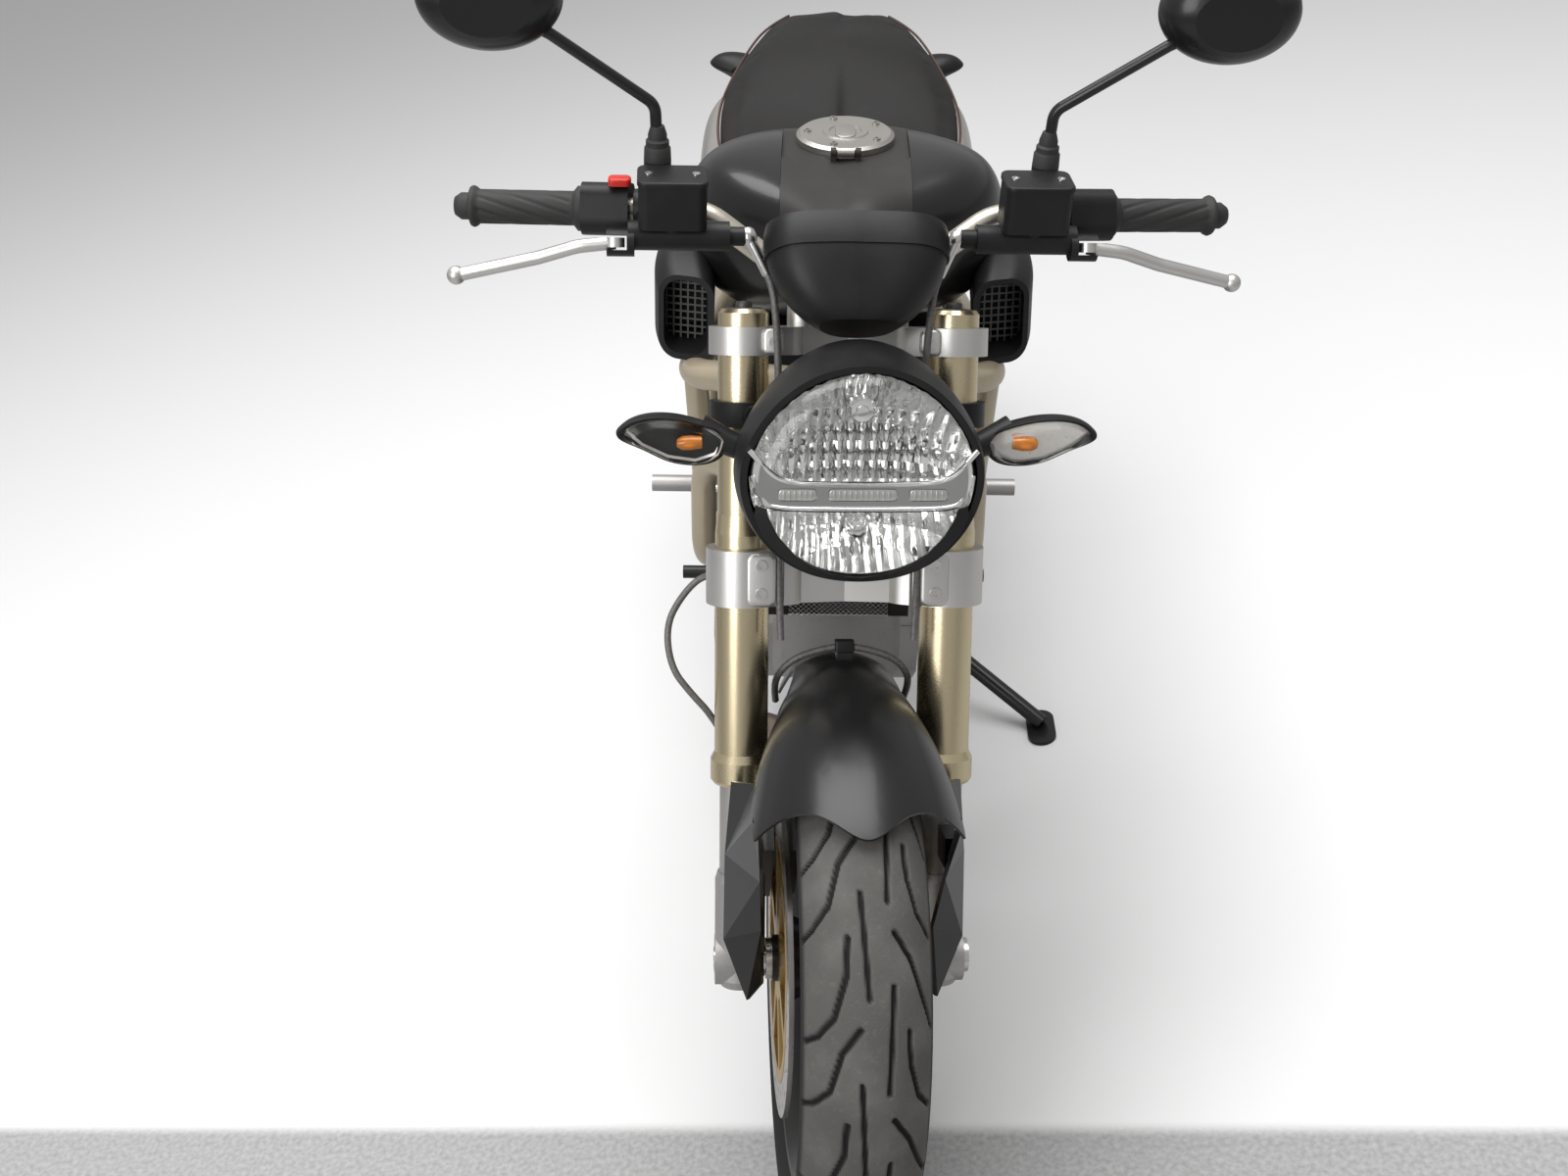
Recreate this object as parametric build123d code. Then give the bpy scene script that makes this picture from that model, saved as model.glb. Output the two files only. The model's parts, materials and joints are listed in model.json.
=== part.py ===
from build123d import *
import os
from math import cos, radians, sin, tan

# Overall geometry, in millimetres and degrees. The bike is drawn upright and heading towards -Y, with its
# left at +X and the front axle at Y = 0, then leaned onto its side stand.
WHEELBASE = 1450.0
RAKE = 24.0
FORK_OFFSET = 34.0
FORK_SPAN = 206.0
STEER_REST = 5.0
LEAN = 10.0

# Gaps between pieces.
SEAT_GAP = 0.3
RUNNING_GAP = 0.08

# Wheels.
RIM_SEAT_R = 216.0
RIM_FLANGE_H = 8.0
RIM_FLANGE_T = 6.0
RIM_DEPTH = 18.0
FRONT_TYRE_R = 300.0
FRONT_TYRE_W = 120.0
FRONT_TYRE_DROP = 48.0
FRONT_RIM_W = 102.0
REAR_TYRE_R = 312.0
REAR_TYRE_W = 160.0
REAR_TYRE_DROP = 56.0
REAR_RIM_W = 141.0
CROWN_FLATS = 6
TYRE_SIDES = 56
FRONT_FLAT_LOSS = 1.5
SPOKE_PAIRS = 5
SPOKE_T = 26.0
SPOKE_W = 21.0
SPOKE_SPREAD = 14.0
HUB_R = 36.0
AXLE_R = 12.5
AXLE_BORE_R = 8.0

# Brakes.
FRONT_DISC_R = 160.0
FRONT_DISC_INNER_R = 126.0
REAR_DISC_R = 122.0
DISC_T = 5.0
FRONT_DISC_X = 61.0
REAR_DISC_X = 80.0
CALIPER_W = 46.0
CALIPER_LENGTH = 104.0
CALIPER_ANGLE = 48.0

# Fork, measured along the legs from the axle.
SLIDER_R = 21.5
COLLAR_R = 31.0
TUBE_R = 27.0
TUBE_TOP_R = 25.0
FOOT_R = 26.0
FOOT_LOW = -27.0
FOOT_TOP = 96.0
COLLAR_LOW = 192.0
COLLAR_H = 33.0
SLIDER_ENGAGED = 40.0
LOWER_CLAMP_LOW = 378.0
LOWER_CLAMP_T = 56.0
UPPER_CLAMP_LOW = 624.0
UPPER_CLAMP_T = 27.0
TUBE_TOP = 668.0
CLAMP_WALL = 9.0
STEM_R = 17.5
HEAD_R = 31.0

# Handlebar, in the fork's frame: across, behind the legs and up the legs.
BAR_R = 11.1
BAR_CENTRE = (0.0, 12.0, 711.0)
BAR_LOW = (72.0, 12.0, 711.0)
BAR_BEND = (140.0, 10.0, 760.0)
BAR_END = (368.0, 41.0, 763.0)
BAR_BEND_R = 55.0
RISER_X = 45.0
GRIP_R = 16.5
GRIP_LENGTH = 112.0
SWITCH_LENGTH = 46.0
LEVER_R = 6.5

# Headlamp and instrument, in the fork's frame.
LAMP_BACK = -138.0
LAMP_UP = 519.0
LAMP_TILT = 9.4
LAMP_HALF_W = 112.0
LAMP_TOP = 104.0
LAMP_BOTTOM = -100.0
LAMP_DEPTH = 104.0
LENS_SCALE = 0.94
LENS_BULGE = 14.0
LENS_T = 3.0
TRIM_T = 9.0

HOSE_R = 3.6
HOSE_BEND_R = 30.0
CROSSOVER_TOP = 334.0
CLIP_FALL = 2.0

# Front fender, round the front axle.
FENDER_GAP = 14.0
FENDER_T = 3.0

# Engine: the crank and the two cylinders, a right angle apart.
CRANK = (0.0, 700.0, 390.0)
CYLINDER_TILT = 11.0
BARREL_START = 128.0
HEAD_START = 262.0
HEAD_END = 366.0
FIN_W = 150.0
FIN_T = 3.0
FIN_PITCH = 12.0
COOLER_SLOTS = 8
COOLER_PITCH = 9.0

# Frame, swingarm and drive.
TUBE_FRAME_R = 16.5
BRACE_R = 13.0
FRAME_SHOULDER = (164.0, 402.0, 770.0)
FRAME_REAR = (128.0, 856.0, 700.0)
PIVOT = (0.0, 935.0, 385.0)
ARM_X = 122.0
ARM_W = 30.0
CHAIN_X = 94.0
CHAIN_PITCH = 15.875
CHAIN_W = 16.0
CHAIN_HALF_H = 7.5
CHAIN_WAIST_H = 5.6
FRONT_TEETH = 15
REAR_TEETH = 45
SPROCKET_T = 7.0
GEARBOX_OUT = (845.0, 372.0)
BOBBIN_R = 4.0
BOBBIN_DEPTH = 20.0
BOBBIN_BACK = 64.0

# Exhaust.
EXHAUST_R = 21.0
SILENCER_INLET = (146.0, 1040.0, 706.0)

# Tank, seat and cap.
CAP_CENTRE = (0.0, 547.0, 982.0)
CAP_R = 53.0
CAP_T = 9.0
NECK_R = 24.0
HANGER_HALF_W = 26.0
GRILLE_PITCH = 8.0
PANEL_LOW = 900.0
PANEL_HALF_W = 68.0
PANEL_FRONT = 330.0
PANEL_BACK = 660.0
CAP_HINGE_R = 5.0
CAP_PIN_R = 2.5

# Side stand, in the upright bike's frame.
STAND_PIVOT = (130.0, 812.0, 148.0)
STAND_FOOT = (306.0, 684.0, 66.0)
STAND_FOLDED = (155.0, 1045.0, 168.0)
STAND_LEG_R = 11.0
STAND_LUG_T = 20.0
STAND_LUG_R = 17.0
STAND_PIN_R = 7.0

FRONT_AXLE = (0.0, 0.0, FRONT_TYRE_R)
REAR_AXLE = (0.0, WHEELBASE, REAR_TYRE_R)
FORK = Plane(origin=FRONT_AXLE, x_dir=(1, 0, 0), z_dir=(0, sin(radians(RAKE)), cos(radians(RAKE))))
STEER_POINT = FORK.from_local_coords((0, FORK_OFFSET, 0))
STEER_AXIS = Axis(STEER_POINT, FORK.z_dir)
LEG_X = FORK_SPAN / 2
BASE_ALIGN = (Align.CENTER, Align.CENTER, Align.MIN)


def rod(start, end, radius, tip_radius=None):
    along = Vector(*end) - Vector(*start)
    foot = Plane(origin=start, z_dir=along)
    if tip_radius is None:
        return extrude(foot * Circle(radius), amount=along.length)
    return foot * Cone(radius, tip_radius, along.length, align=BASE_ALIGN)


def tube(points, bends, radius):
    path = FilletPolyline(*points, radius=bends)
    return sweep(Plane(origin=path @ 0, z_dir=path % 0) * Circle(radius), path=path)


def turned(points, axis=Axis.Z):
    """A lathe piece from (radius, length) points."""
    return revolve(Plane.XZ * make_face(Polyline(*points, close=True)), axis=axis)


def turned_across(points):
    """A lathe piece about the X axis from (across, radius) points."""
    return revolve(make_face(Polyline(*points, close=True)), axis=Axis.X)


def block(x, y, z):
    """A box between pairs of limits."""
    size = Box(x[1] - x[0], y[1] - y[0], z[1] - z[0])
    return Pos((x[0] + x[1]) / 2, (y[0] + y[1]) / 2, (z[0] + z[1]) / 2) * size


def side_plate(points, x, thickness):
    """A flat plate across X from (Y, Z) outline points."""
    outline = make_face(Polyline(*points, close=True))
    return extrude(Plane(origin=(x, 0, 0), x_dir=(0, 1, 0), z_dir=(1, 0, 0)) * outline, amount=thickness)


def closed_curve(points):
    return make_face(Spline(*points, periodic=True))


def mirrored_outline(half):
    """Doubles a half outline of (X, Z) points that starts and ends on X = 0."""
    return [*half, *[(-x, z) for x, z in reversed(half[1:-1])]]


def stations(sections):
    """A smooth body through closed half outlines at each Y."""
    faces = []
    for y, half in sections:
        faces.append(closed_curve([(x, y, z) for x, z in mirrored_outline(half)]))
    return loft(faces)


def both(piece):
    """A piece and its mirror image on the other side."""
    return [piece, mirror(piece, about=Plane.YZ)]


def wheel_place(axle):
    return Pos(*axle)


def tyre(outer_r, width, drop, rim_w):
    """A tyre made in a few flats round and across, one corner turned to the ground, the road tread left off."""
    half = width / 2
    shoulder = outer_r - drop
    bead = rim_w / 2 - RIM_FLANGE_T - SEAT_GAP
    lip = RIM_SEAT_R + RIM_FLANGE_H + 4
    middle = (shoulder + lip) / 2
    crown = ThreePointArc((-half, shoulder), (0, outer_r), (half, shoulder))
    flats = [crown @ (k / CROWN_FLATS) for k in range(CROWN_FLATS + 1)]
    rings = [(-bead, lip), (1 - half, middle)]
    rings += [(point.X, point.Y) for point in flats]
    rings += [(half - 1, middle), (bead, lip)]
    step = 360 / TYRE_SIDES
    faces = []
    for x, radius in rings:
        corners = []
        for k in range(TYRE_SIDES):
            around = radians(step * k)
            corners.append((x, -radius * sin(around), -radius * cos(around)))
        faces.append(make_face(Polyline(*corners, close=True)))
    body = loft(faces, ruled=True)
    hole_r = (RIM_SEAT_R + SEAT_GAP) / cos(radians(step / 2))
    hole = Plane.YZ * RegularPolygon(hole_r, TYRE_SIDES)
    return body - extrude(hole, amount=width, both=True)


def rim(rim_w, hub_right, hub_left, boss_half):
    half = rim_w / 2
    lip = RIM_SEAT_R + RIM_FLANGE_H
    inner = RIM_SEAT_R - RIM_DEPTH
    barrel = turned_across([
        (-half, lip), (-half + RIM_FLANGE_T - 1, lip), (-half + RIM_FLANGE_T, RIM_SEAT_R),
        (half - RIM_FLANGE_T, RIM_SEAT_R), (half - RIM_FLANGE_T + 1, lip), (half, lip),
        (half, RIM_SEAT_R - 3), (half * 0.5, inner), (-half * 0.5, inner), (-half, RIM_SEAT_R - 3),
    ])
    hub = turned_across([
        (-boss_half, AXLE_R + RUNNING_GAP), (-boss_half, 24), (-hub_right, 24), (-hub_right, HUB_R + 8),
        (-hub_right + 8, HUB_R + 8), (-SPOKE_T / 2 - 4, HUB_R - 6), (SPOKE_T / 2 + 4, HUB_R - 6),
        (hub_left - 8, HUB_R + 8), (hub_left, HUB_R + 8), (hub_left, 24), (boss_half, 24),
        (boss_half, AXLE_R + RUNNING_GAP),
    ])
    leg = Polygon(
        (HUB_R - 10, -SPOKE_W * 0.62), (HUB_R - 10, SPOKE_W * 0.62),
        (inner + 8, SPOKE_W * 0.4), (inner + 8, -SPOKE_W * 0.4), align=None,
    )
    legs = Sketch()
    for k in range(SPOKE_PAIRS):
        for side in (-1, 1):
            legs += Rot(0, 0, 90 + 360 / SPOKE_PAIRS * k + side * SPOKE_SPREAD) * leg
    spokes = extrude(Plane.YZ * legs, amount=SPOKE_T / 2, both=True)
    core = turned_across([
        (-boss_half, 0), (-boss_half, AXLE_R + RUNNING_GAP), (boss_half, AXLE_R + RUNNING_GAP), (boss_half, 0),
    ])
    return barrel + spokes + hub - core


def disc(outer_r, inner_r):
    ring = Circle(outer_r) - Circle(inner_r)
    middle = (outer_r + inner_r) / 2
    ring -= PolarLocations(middle + 7, 24) * Circle(3.2)
    ring -= PolarLocations(middle - 7, 24, 7.5) * Circle(3.2)
    return extrude(Plane.YZ * ring, amount=DISC_T / 2, both=True)


def disc_carrier(outer_r, thickness):
    spider = Circle(HUB_R + 9) - Circle(24 + SEAT_GAP)
    ring = Circle(outer_r - SEAT_GAP) - Circle(outer_r - 13)
    arm = Pos((outer_r + HUB_R) / 2, 0) * Rectangle(outer_r - HUB_R - 6, 15)
    spider += [ring]
    spider += PolarLocations(0, 8) * arm
    return extrude(Plane.YZ * spider, amount=thickness / 2, both=True)


FRONT_HUB_HALF = FRONT_DISC_X - 3 - SEAT_GAP
REAR_HUB_RIGHT = REAR_DISC_X - DISC_T / 2 - SEAT_GAP
REAR_HUB_LEFT = CHAIN_X - SPROCKET_T / 2 - SEAT_GAP
FRONT_BOSS = 70.0
REAR_BOSS = 98.0


def front_wheel():
    place = wheel_place(FRONT_AXLE)
    rotor = disc(FRONT_DISC_R, FRONT_DISC_INNER_R)
    carrier = disc_carrier(FRONT_DISC_INNER_R, 6)
    return {
        "front_tyre": [place * tyre(FRONT_TYRE_R + FRONT_FLAT_LOSS, FRONT_TYRE_W, FRONT_TYRE_DROP, FRONT_RIM_W)],
        "front_rim": [place * rim(FRONT_RIM_W, FRONT_HUB_HALF, FRONT_HUB_HALF, FRONT_BOSS)],
        "front_discs": [place * Pos(x, 0, 0) * rotor for x in (FRONT_DISC_X, -FRONT_DISC_X)],
        "front_disc_carriers": [place * Pos(x, 0, 0) * carrier for x in (FRONT_DISC_X, -FRONT_DISC_X)],
    }


def sprocket_pitch_r(teeth):
    return CHAIN_PITCH / (2 * sin(radians(180 / teeth)))


def sprocket(teeth, bore_r, thickness, gap):
    tip = sprocket_pitch_r(teeth) - CHAIN_HALF_H - gap
    outline = []
    for k in range(teeth):
        for shift, radius in ((-0.36, tip - 5), (-0.16, tip), (0.16, tip), (0.36, tip - 5)):
            angle = radians(360 / teeth * (k + shift))
            outline.append((radius * cos(angle), radius * sin(angle)))
    wheel = make_face(Polyline(*outline, close=True)) - Circle(bore_r)
    if tip > 60:
        wheel -= PolarLocations((tip + bore_r) / 2 + 4, 6) * Circle(13)
    return extrude(Plane.YZ * wheel, amount=thickness / 2, both=True)


def rear_wheel():
    place = wheel_place(REAR_AXLE)
    return {
        "rear_tyre": [place * tyre(REAR_TYRE_R, REAR_TYRE_W, REAR_TYRE_DROP, REAR_RIM_W)],
        "rear_rim": [place * rim(REAR_RIM_W, REAR_HUB_RIGHT, REAR_HUB_LEFT, REAR_BOSS)],
        "rear_disc": [place * Pos(-REAR_DISC_X, 0, 0) * disc(REAR_DISC_R, 24 + SEAT_GAP)],
        "rear_sprocket": [place * Pos(CHAIN_X, 0, 0) * sprocket(REAR_TEETH, 24 + SEAT_GAP, SPROCKET_T, 1.5)],
    }


def fork_tubes():
    bore = SLIDER_R + SEAT_GAP
    profile = [
        (bore, COLLAR_LOW), (COLLAR_R - 3, COLLAR_LOW), (COLLAR_R, COLLAR_LOW + 4),
        (COLLAR_R, COLLAR_LOW + COLLAR_H - 8), (TUBE_R, COLLAR_LOW + COLLAR_H),
        (TUBE_R, LOWER_CLAMP_LOW + LOWER_CLAMP_T + 14), (TUBE_TOP_R, LOWER_CLAMP_LOW + LOWER_CLAMP_T + 34),
        (TUBE_TOP_R, TUBE_TOP - 4), (TUBE_TOP_R - 3, TUBE_TOP), (0, TUBE_TOP),
        (0, COLLAR_LOW + SLIDER_ENGAGED), (bore, COLLAR_LOW + SLIDER_ENGAGED),
    ]
    return [FORK * Pos(x, 0, 0) * turned(profile) for x in (LEG_X, -LEG_X)]


def caliper_frame(axle, angle):
    """Z runs outwards along a wheel radius turned back from the fork line, Y along the disc's rim."""
    return Plane(origin=axle, x_dir=(1, 0, 0), z_dir=(0, sin(radians(angle)), cos(radians(angle))))


def caliper(disc_x, disc_r):
    """A block astride the disc, open over the pads."""
    half = CALIPER_LENGTH / 2
    low = disc_r - 62
    high = disc_r + 10
    body = extrude(Pos(0, 0, low) * RectangleRounded(CALIPER_W, CALIPER_LENGTH, 12), amount=high - low)
    body -= block((-DISC_T / 2 - 1.5, DISC_T / 2 + 1.5), (-half - 1, half + 1), (low - 1, disc_r + 3))
    body -= block((-8, 8), (-18, 18), (disc_r + 2, high + 1))
    return Pos(disc_x, 0, 0) * body


def fork_sliders():
    leg = turned([
        (0, FOOT_LOW + 30), (SLIDER_R, FOOT_LOW + 30), (SLIDER_R, COLLAR_LOW + SLIDER_ENGAGED - 2),
        (0, COLLAR_LOW + SLIDER_ENGAGED - 2),
    ])
    foot = turned([
        (0, FOOT_LOW), (FOOT_R - 6, FOOT_LOW), (FOOT_R, FOOT_LOW + 10), (FOOT_R, FOOT_TOP - 8),
        (SLIDER_R + 2, FOOT_TOP), (0, FOOT_TOP),
    ])
    inner = FRONT_DISC_X + CALIPER_W / 2 + SEAT_GAP - LEG_X
    boss = Pos(inner, 0, 0) * Rot(0, 90, 0) * Cylinder(FOOT_R, 26 - inner, align=BASE_ALIGN)
    swing = radians(CALIPER_ANGLE)
    far = FRONT_DISC_R - 18
    lug_tip = (far * sin(swing), far * cos(swing))
    lug = side_plate([
        (0, FOOT_LOW + 10), (lug_tip[0] - 10, lug_tip[1] - 70), (lug_tip[0] + 14, lug_tip[1] - 22),
        (lug_tip[0] - 34, lug_tip[1] + 30), (0, FOOT_TOP + 24),
    ], inner, 11)
    bore = Rot(0, 90, 0) * Cylinder(AXLE_R + SEAT_GAP, 120)
    left = leg + foot + boss + lug - bore
    return both(FORK * Pos(LEG_X, 0, 0) * left)


def front_axle():
    end = LEG_X + 27
    shaft = turned_across([
        (-end, AXLE_BORE_R), (-end, AXLE_R), (end, AXLE_R), (end, AXLE_R + 5), (end + 5, AXLE_R + 5),
        (end + 5, AXLE_BORE_R),
    ])
    foot_face = LEG_X - FOOT_R - SEAT_GAP
    spacer = turned_across([
        (FRONT_BOSS + SEAT_GAP, AXLE_R + SEAT_GAP), (FRONT_BOSS + SEAT_GAP, 21), (foot_face, 21),
        (foot_face, AXLE_R + SEAT_GAP),
    ])
    return [FORK * piece for piece in (shaft, *both(spacer))]


def front_calipers():
    place = FORK * caliper_frame((0, 0, 0), CALIPER_ANGLE)
    return [place * caliper(x, FRONT_DISC_R) for x in (FRONT_DISC_X, -FRONT_DISC_X)]


def clamp_outline(tube_r, hub_r):
    """A clamp round both legs and the stem, seen along the legs."""
    outline = Sketch()
    for x in (LEG_X, -LEG_X):
        ears = [Pos(x, 0) * Circle(tube_r + CLAMP_WALL), Pos(x * 0.62, 2) * Circle(tube_r - 6)]
        outline += make_hull([edge for ear in ears for edge in ear.edges()])
        arm = [Pos(x * 0.66, 8) * Circle(tube_r - 10), Pos(0, FORK_OFFSET) * Circle(hub_r)]
        outline += make_hull([edge for part in arm for edge in part.edges()])
    return outline


def lower_clamp():
    outline = clamp_outline(TUBE_R, STEM_R + 15)
    for x in (LEG_X, -LEG_X):
        outline -= Pos(x, 0) * Circle(TUBE_R + SEAT_GAP)
    body = extrude(Pos(0, 0, LOWER_CLAMP_LOW) * outline, amount=LOWER_CLAMP_T)
    for x in (LEG_X, -LEG_X):
        body -= Pos(x * 0.62, -TUBE_R - 6, LOWER_CLAMP_LOW + LOWER_CLAMP_T / 2) * Box(3, 40, LOWER_CLAMP_T + 2)
    top = UPPER_CLAMP_LOW + UPPER_CLAMP_T
    body += Pos(0, FORK_OFFSET, LOWER_CLAMP_LOW) * Cylinder(STEM_R, top - LOWER_CLAMP_LOW, align=BASE_ALIGN)
    return [FORK * body]


def bar_frame(distance):
    """A frame on the left half of the bar, its Z running inwards from the bar's end."""
    end = Vector(*BAR_END)
    inwards = (Vector(*BAR_BEND) - end).normalized()
    return Plane(origin=end + inwards * distance, x_dir=(0, -1, 0), z_dir=inwards)


def level_frame(across, back, up):
    """A frame in the fork's own, turned level with the ground."""
    return Plane(origin=(across, back, up), x_dir=(1, 0, 0), z_dir=(0, -sin(radians(RAKE)), cos(radians(RAKE))))


def upper_clamp():
    outline = clamp_outline(TUBE_TOP_R, STEM_R + 13)
    for x in (LEG_X, -LEG_X):
        outline -= Pos(x, 0) * Circle(TUBE_TOP_R + SEAT_GAP)
    outline -= Pos(0, FORK_OFFSET) * Circle(STEM_R + SEAT_GAP)
    body = extrude(Pos(0, 0, UPPER_CLAMP_LOW) * outline, amount=UPPER_CLAMP_T)
    top = UPPER_CLAMP_LOW + UPPER_CLAMP_T
    for x in (RISER_X, -RISER_X):
        post = Pos(x, BAR_CENTRE[1], top - 2) * Cylinder(15, BAR_CENTRE[2] - top - 6, align=BASE_ALIGN)
        head = Pos(x, BAR_CENTRE[1], BAR_CENTRE[2]) * Box(30, 46, 34)
        body += post + fillet(head.edges().filter_by(Axis.X), 8)
        body -= Pos(x, BAR_CENTRE[1], BAR_CENTRE[2]) * Rot(0, 90, 0) * Cylinder(BAR_R + SEAT_GAP, 60)
    return [FORK * body]


def handlebar():
    left = [BAR_LOW, BAR_BEND, BAR_END]
    right = [(-x, y, z) for x, y, z in reversed(left)]
    return [FORK * tube([*right, *left], BAR_BEND_R, BAR_R)]


def grips():
    hole = BAR_R + SEAT_GAP
    profile = [
        (0, -14), (9, -14), (13, -8), (13, 0), (GRIP_R + 3.5, 2), (GRIP_R + 3.5, 7), (GRIP_R, 10),
        (GRIP_R, GRIP_LENGTH - 10), (GRIP_R + 5, GRIP_LENGTH - 6), (GRIP_R + 5, GRIP_LENGTH),
        (hole, GRIP_LENGTH), (hole, -SEAT_GAP), (0, -SEAT_GAP),
    ]
    return [FORK * piece for piece in both(bar_frame(0) * turned(profile))]


MASTER_BACK = -24.0
MASTER_UP = 736.0
RESERVOIR_X = 172.0


def bar_controls():
    hole = Cylinder(BAR_R + SEAT_GAP, 500)
    start = GRIP_LENGTH + SEAT_GAP
    shell = extrude(Pos(0, 0, start) * RectangleRounded(52, 50, 16), amount=SWITCH_LENGTH)
    switches = bar_frame(0) * (Pos(0, 0, 0) * shell - hole)
    ring_start = start + SWITCH_LENGTH + 4
    ring = bar_frame(0) * Pos(0, 0, ring_start) * Cylinder(20, 22, align=BASE_ALIGN)
    body = rod((118, MASTER_BACK, MASTER_UP), (214, MASTER_BACK, MASTER_UP), 14)
    perch = rod((196, MASTER_BACK, MASTER_UP), (196, 10, 756), 12)
    cup = level_frame(RESERVOIR_X, -36, 768) * fillet(Box(64, 46, 42).edges().filter_by(Axis.Z), 9)
    neck = rod((RESERVOIR_X, MASTER_BACK, MASTER_UP), (RESERVOIR_X, -34, 756), 12)
    banjo = rod((104, MASTER_BACK, MASTER_UP), (119, MASTER_BACK, MASTER_UP), 9)
    pivot = rod((208, MASTER_BACK - 4, MASTER_UP - 7), (234, MASTER_BACK - 4, MASTER_UP - 7), 13)
    boss = level_frame(186, 6, 770) * Cylinder(13, 40, align=BASE_ALIGN)
    master = body + perch + ring + cup + neck + banjo + pivot + boss
    master -= bar_frame(0) * hole
    master -= Pos(228, MASTER_BACK - 4, MASTER_UP - 7) * Box(26, 40, 14)
    return [FORK * piece for part in (switches, master) for piece in both(part)]


def levers():
    y, z = MASTER_BACK - 4, MASTER_UP - 7
    blade = tube([(226, y, z), (262, y + 2, z - 4), (300, y + 14, z - 15), (378, y + 26, z - 32)], 45, LEVER_R)
    tang = extrude(Pos(226, y, z - 4.5) * Circle(9), amount=9)
    knob = Pos(378, y + 26, z - 32) * Sphere(9)
    flat = block((210, 400), (y - 60, y + 60), (z - 60, z + 4.5))
    return [FORK * piece for piece in both((blade + tang + knob) & flat)]


MIRROR_HEAD = (334.0, -97.0, 937.0)


def mirrors():
    start = level_frame(186, 6, 770).from_local_coords((0, 0, 40 + SEAT_GAP))
    stem = tube([start, (188, -31, 855), (282, -78, 911), (320, -88, 927)], 18, 5.5)
    place = level_frame(*MIRROR_HEAD) * Rot(90, 0, 0)
    shell = loft([
        Pos(0, 0, -16) * Ellipse(65, 48), Pos(0, 0, 4) * Ellipse(62, 45), Pos(0, 0, 22) * Ellipse(40, 28),
    ])
    shell -= extrude(Pos(0, 0, -17) * Ellipse(60, 43), amount=4)
    return [FORK * piece for piece in both(stem + place * shell)]


def mirror_glasses():
    place = level_frame(*MIRROR_HEAD) * Rot(90, 0, 0)
    glass = extrude(Pos(0, 0, -16) * Ellipse(60 - SEAT_GAP, 43 - SEAT_GAP), amount=3 - SEAT_GAP)
    return [FORK * piece for piece in both(place * glass)]


LAMP = Plane(
    origin=(0, LAMP_BACK, LAMP_UP), x_dir=(1, 0, 0),
    z_dir=(0, -cos(radians(LAMP_TILT)), -sin(radians(LAMP_TILT))),
)


def lamp_outline(across, upwards=None, downwards=None):
    """The lamp's outline with its width, its upper half and its lower half scaled."""
    upwards = across if upwards is None else upwards
    downwards = across if downwards is None else downwards
    half = [
        (0, LAMP_TOP * upwards), (0.45 * LAMP_HALF_W * across, 0.88 * LAMP_TOP * upwards),
        (0.83 * LAMP_HALF_W * across, 0.51 * LAMP_TOP * upwards), (LAMP_HALF_W * across, 0.04 * LAMP_TOP),
        (0.93 * LAMP_HALF_W * across, 0.38 * LAMP_BOTTOM * downwards),
        (0.56 * LAMP_HALF_W * across, 0.85 * LAMP_BOTTOM * downwards), (0, LAMP_BOTTOM * downwards),
    ]
    return mirrored_outline(half)


def lamp_loft(rings):
    """A body through the lamp's outline at each (depth, width, upper, lower) of the list."""
    faces = []
    for deep, across, upwards, downwards in rings:
        faces.append(closed_curve([(x, z, deep) for x, z in lamp_outline(across, upwards, downwards)]))
    return loft(faces)


def trim_outline(grow):
    """The bright bar across the lamp, its ends turned up to the shell's sides."""
    half = [
        (0, -1 + grow), (68, -1 + grow), (86, 8 + grow), (LAMP_HALF_W - 8, 26 + grow),
        (LAMP_HALF_W - 8, 4 - grow), (90, -25 - grow), (0, -26 - grow),
    ]
    return make_face(Polyline(*mirrored_outline(half), close=True))


def shell_outside():
    return lamp_loft([
        (0, 1.0, 1.0, 1.0), (-38, 1.04, 1.07, 1.0), (-78, 0.93, 1.08, 0.82), (-LAMP_DEPTH, 0.52, 0.72, 0.5),
    ])


def headlamp_shell():
    hollow = lamp_loft([
        (1, LENS_SCALE, LENS_SCALE, LENS_SCALE), (-40, 0.9, 0.9, 0.88), (-74, 0.6, 0.62, 0.58),
    ])
    body = LAMP * (shell_outside() - hollow)
    for x in (LEG_X, -LEG_X):
        arm = rod((x * 0.6, LAMP_BACK + 62, LAMP_UP + 40), (x * 0.9, -TUBE_TOP_R - 14, LAMP_UP + 48), 10)
        band = Pos(x, 0, LAMP_UP + 36) * Cylinder(TUBE_TOP_R + 8, 24, align=BASE_ALIGN)
        band += rod((x * 0.9, -TUBE_TOP_R - 16, LAMP_UP + 48), (x, -6, LAMP_UP + 48), 10)
        band -= Pos(x, 0, LAMP_UP) * Cylinder(TUBE_TOP_R + SEAT_GAP, 100, align=BASE_ALIGN)
        body += arm + band
    return [FORK * body]


def headlamp_reflector():
    bowl = lamp_loft([(-4.6, 0.932, 0.932, 0.932), (-38, 0.86, 0.86, 0.84), (-66, 0.56, 0.58, 0.54)])
    inside = lamp_loft([(-4, 0.87, 0.87, 0.87), (-36, 0.79, 0.79, 0.77), (-60, 0.5, 0.52, 0.48)])
    shelf = block((-94, 94), (-22, -4), (-24, -6))
    bulb = Pos(0, 58, -60) * Cylinder(11, 30, align=BASE_ALIGN)
    cap = Pos(0, 58, -30) * Sphere(11)
    low_bulb = Pos(0, -56, -58) * Cylinder(9, 26, align=BASE_ALIGN)
    return [FORK * LAMP * (bowl - inside + shelf + bulb + cap + low_bulb)]


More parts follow.
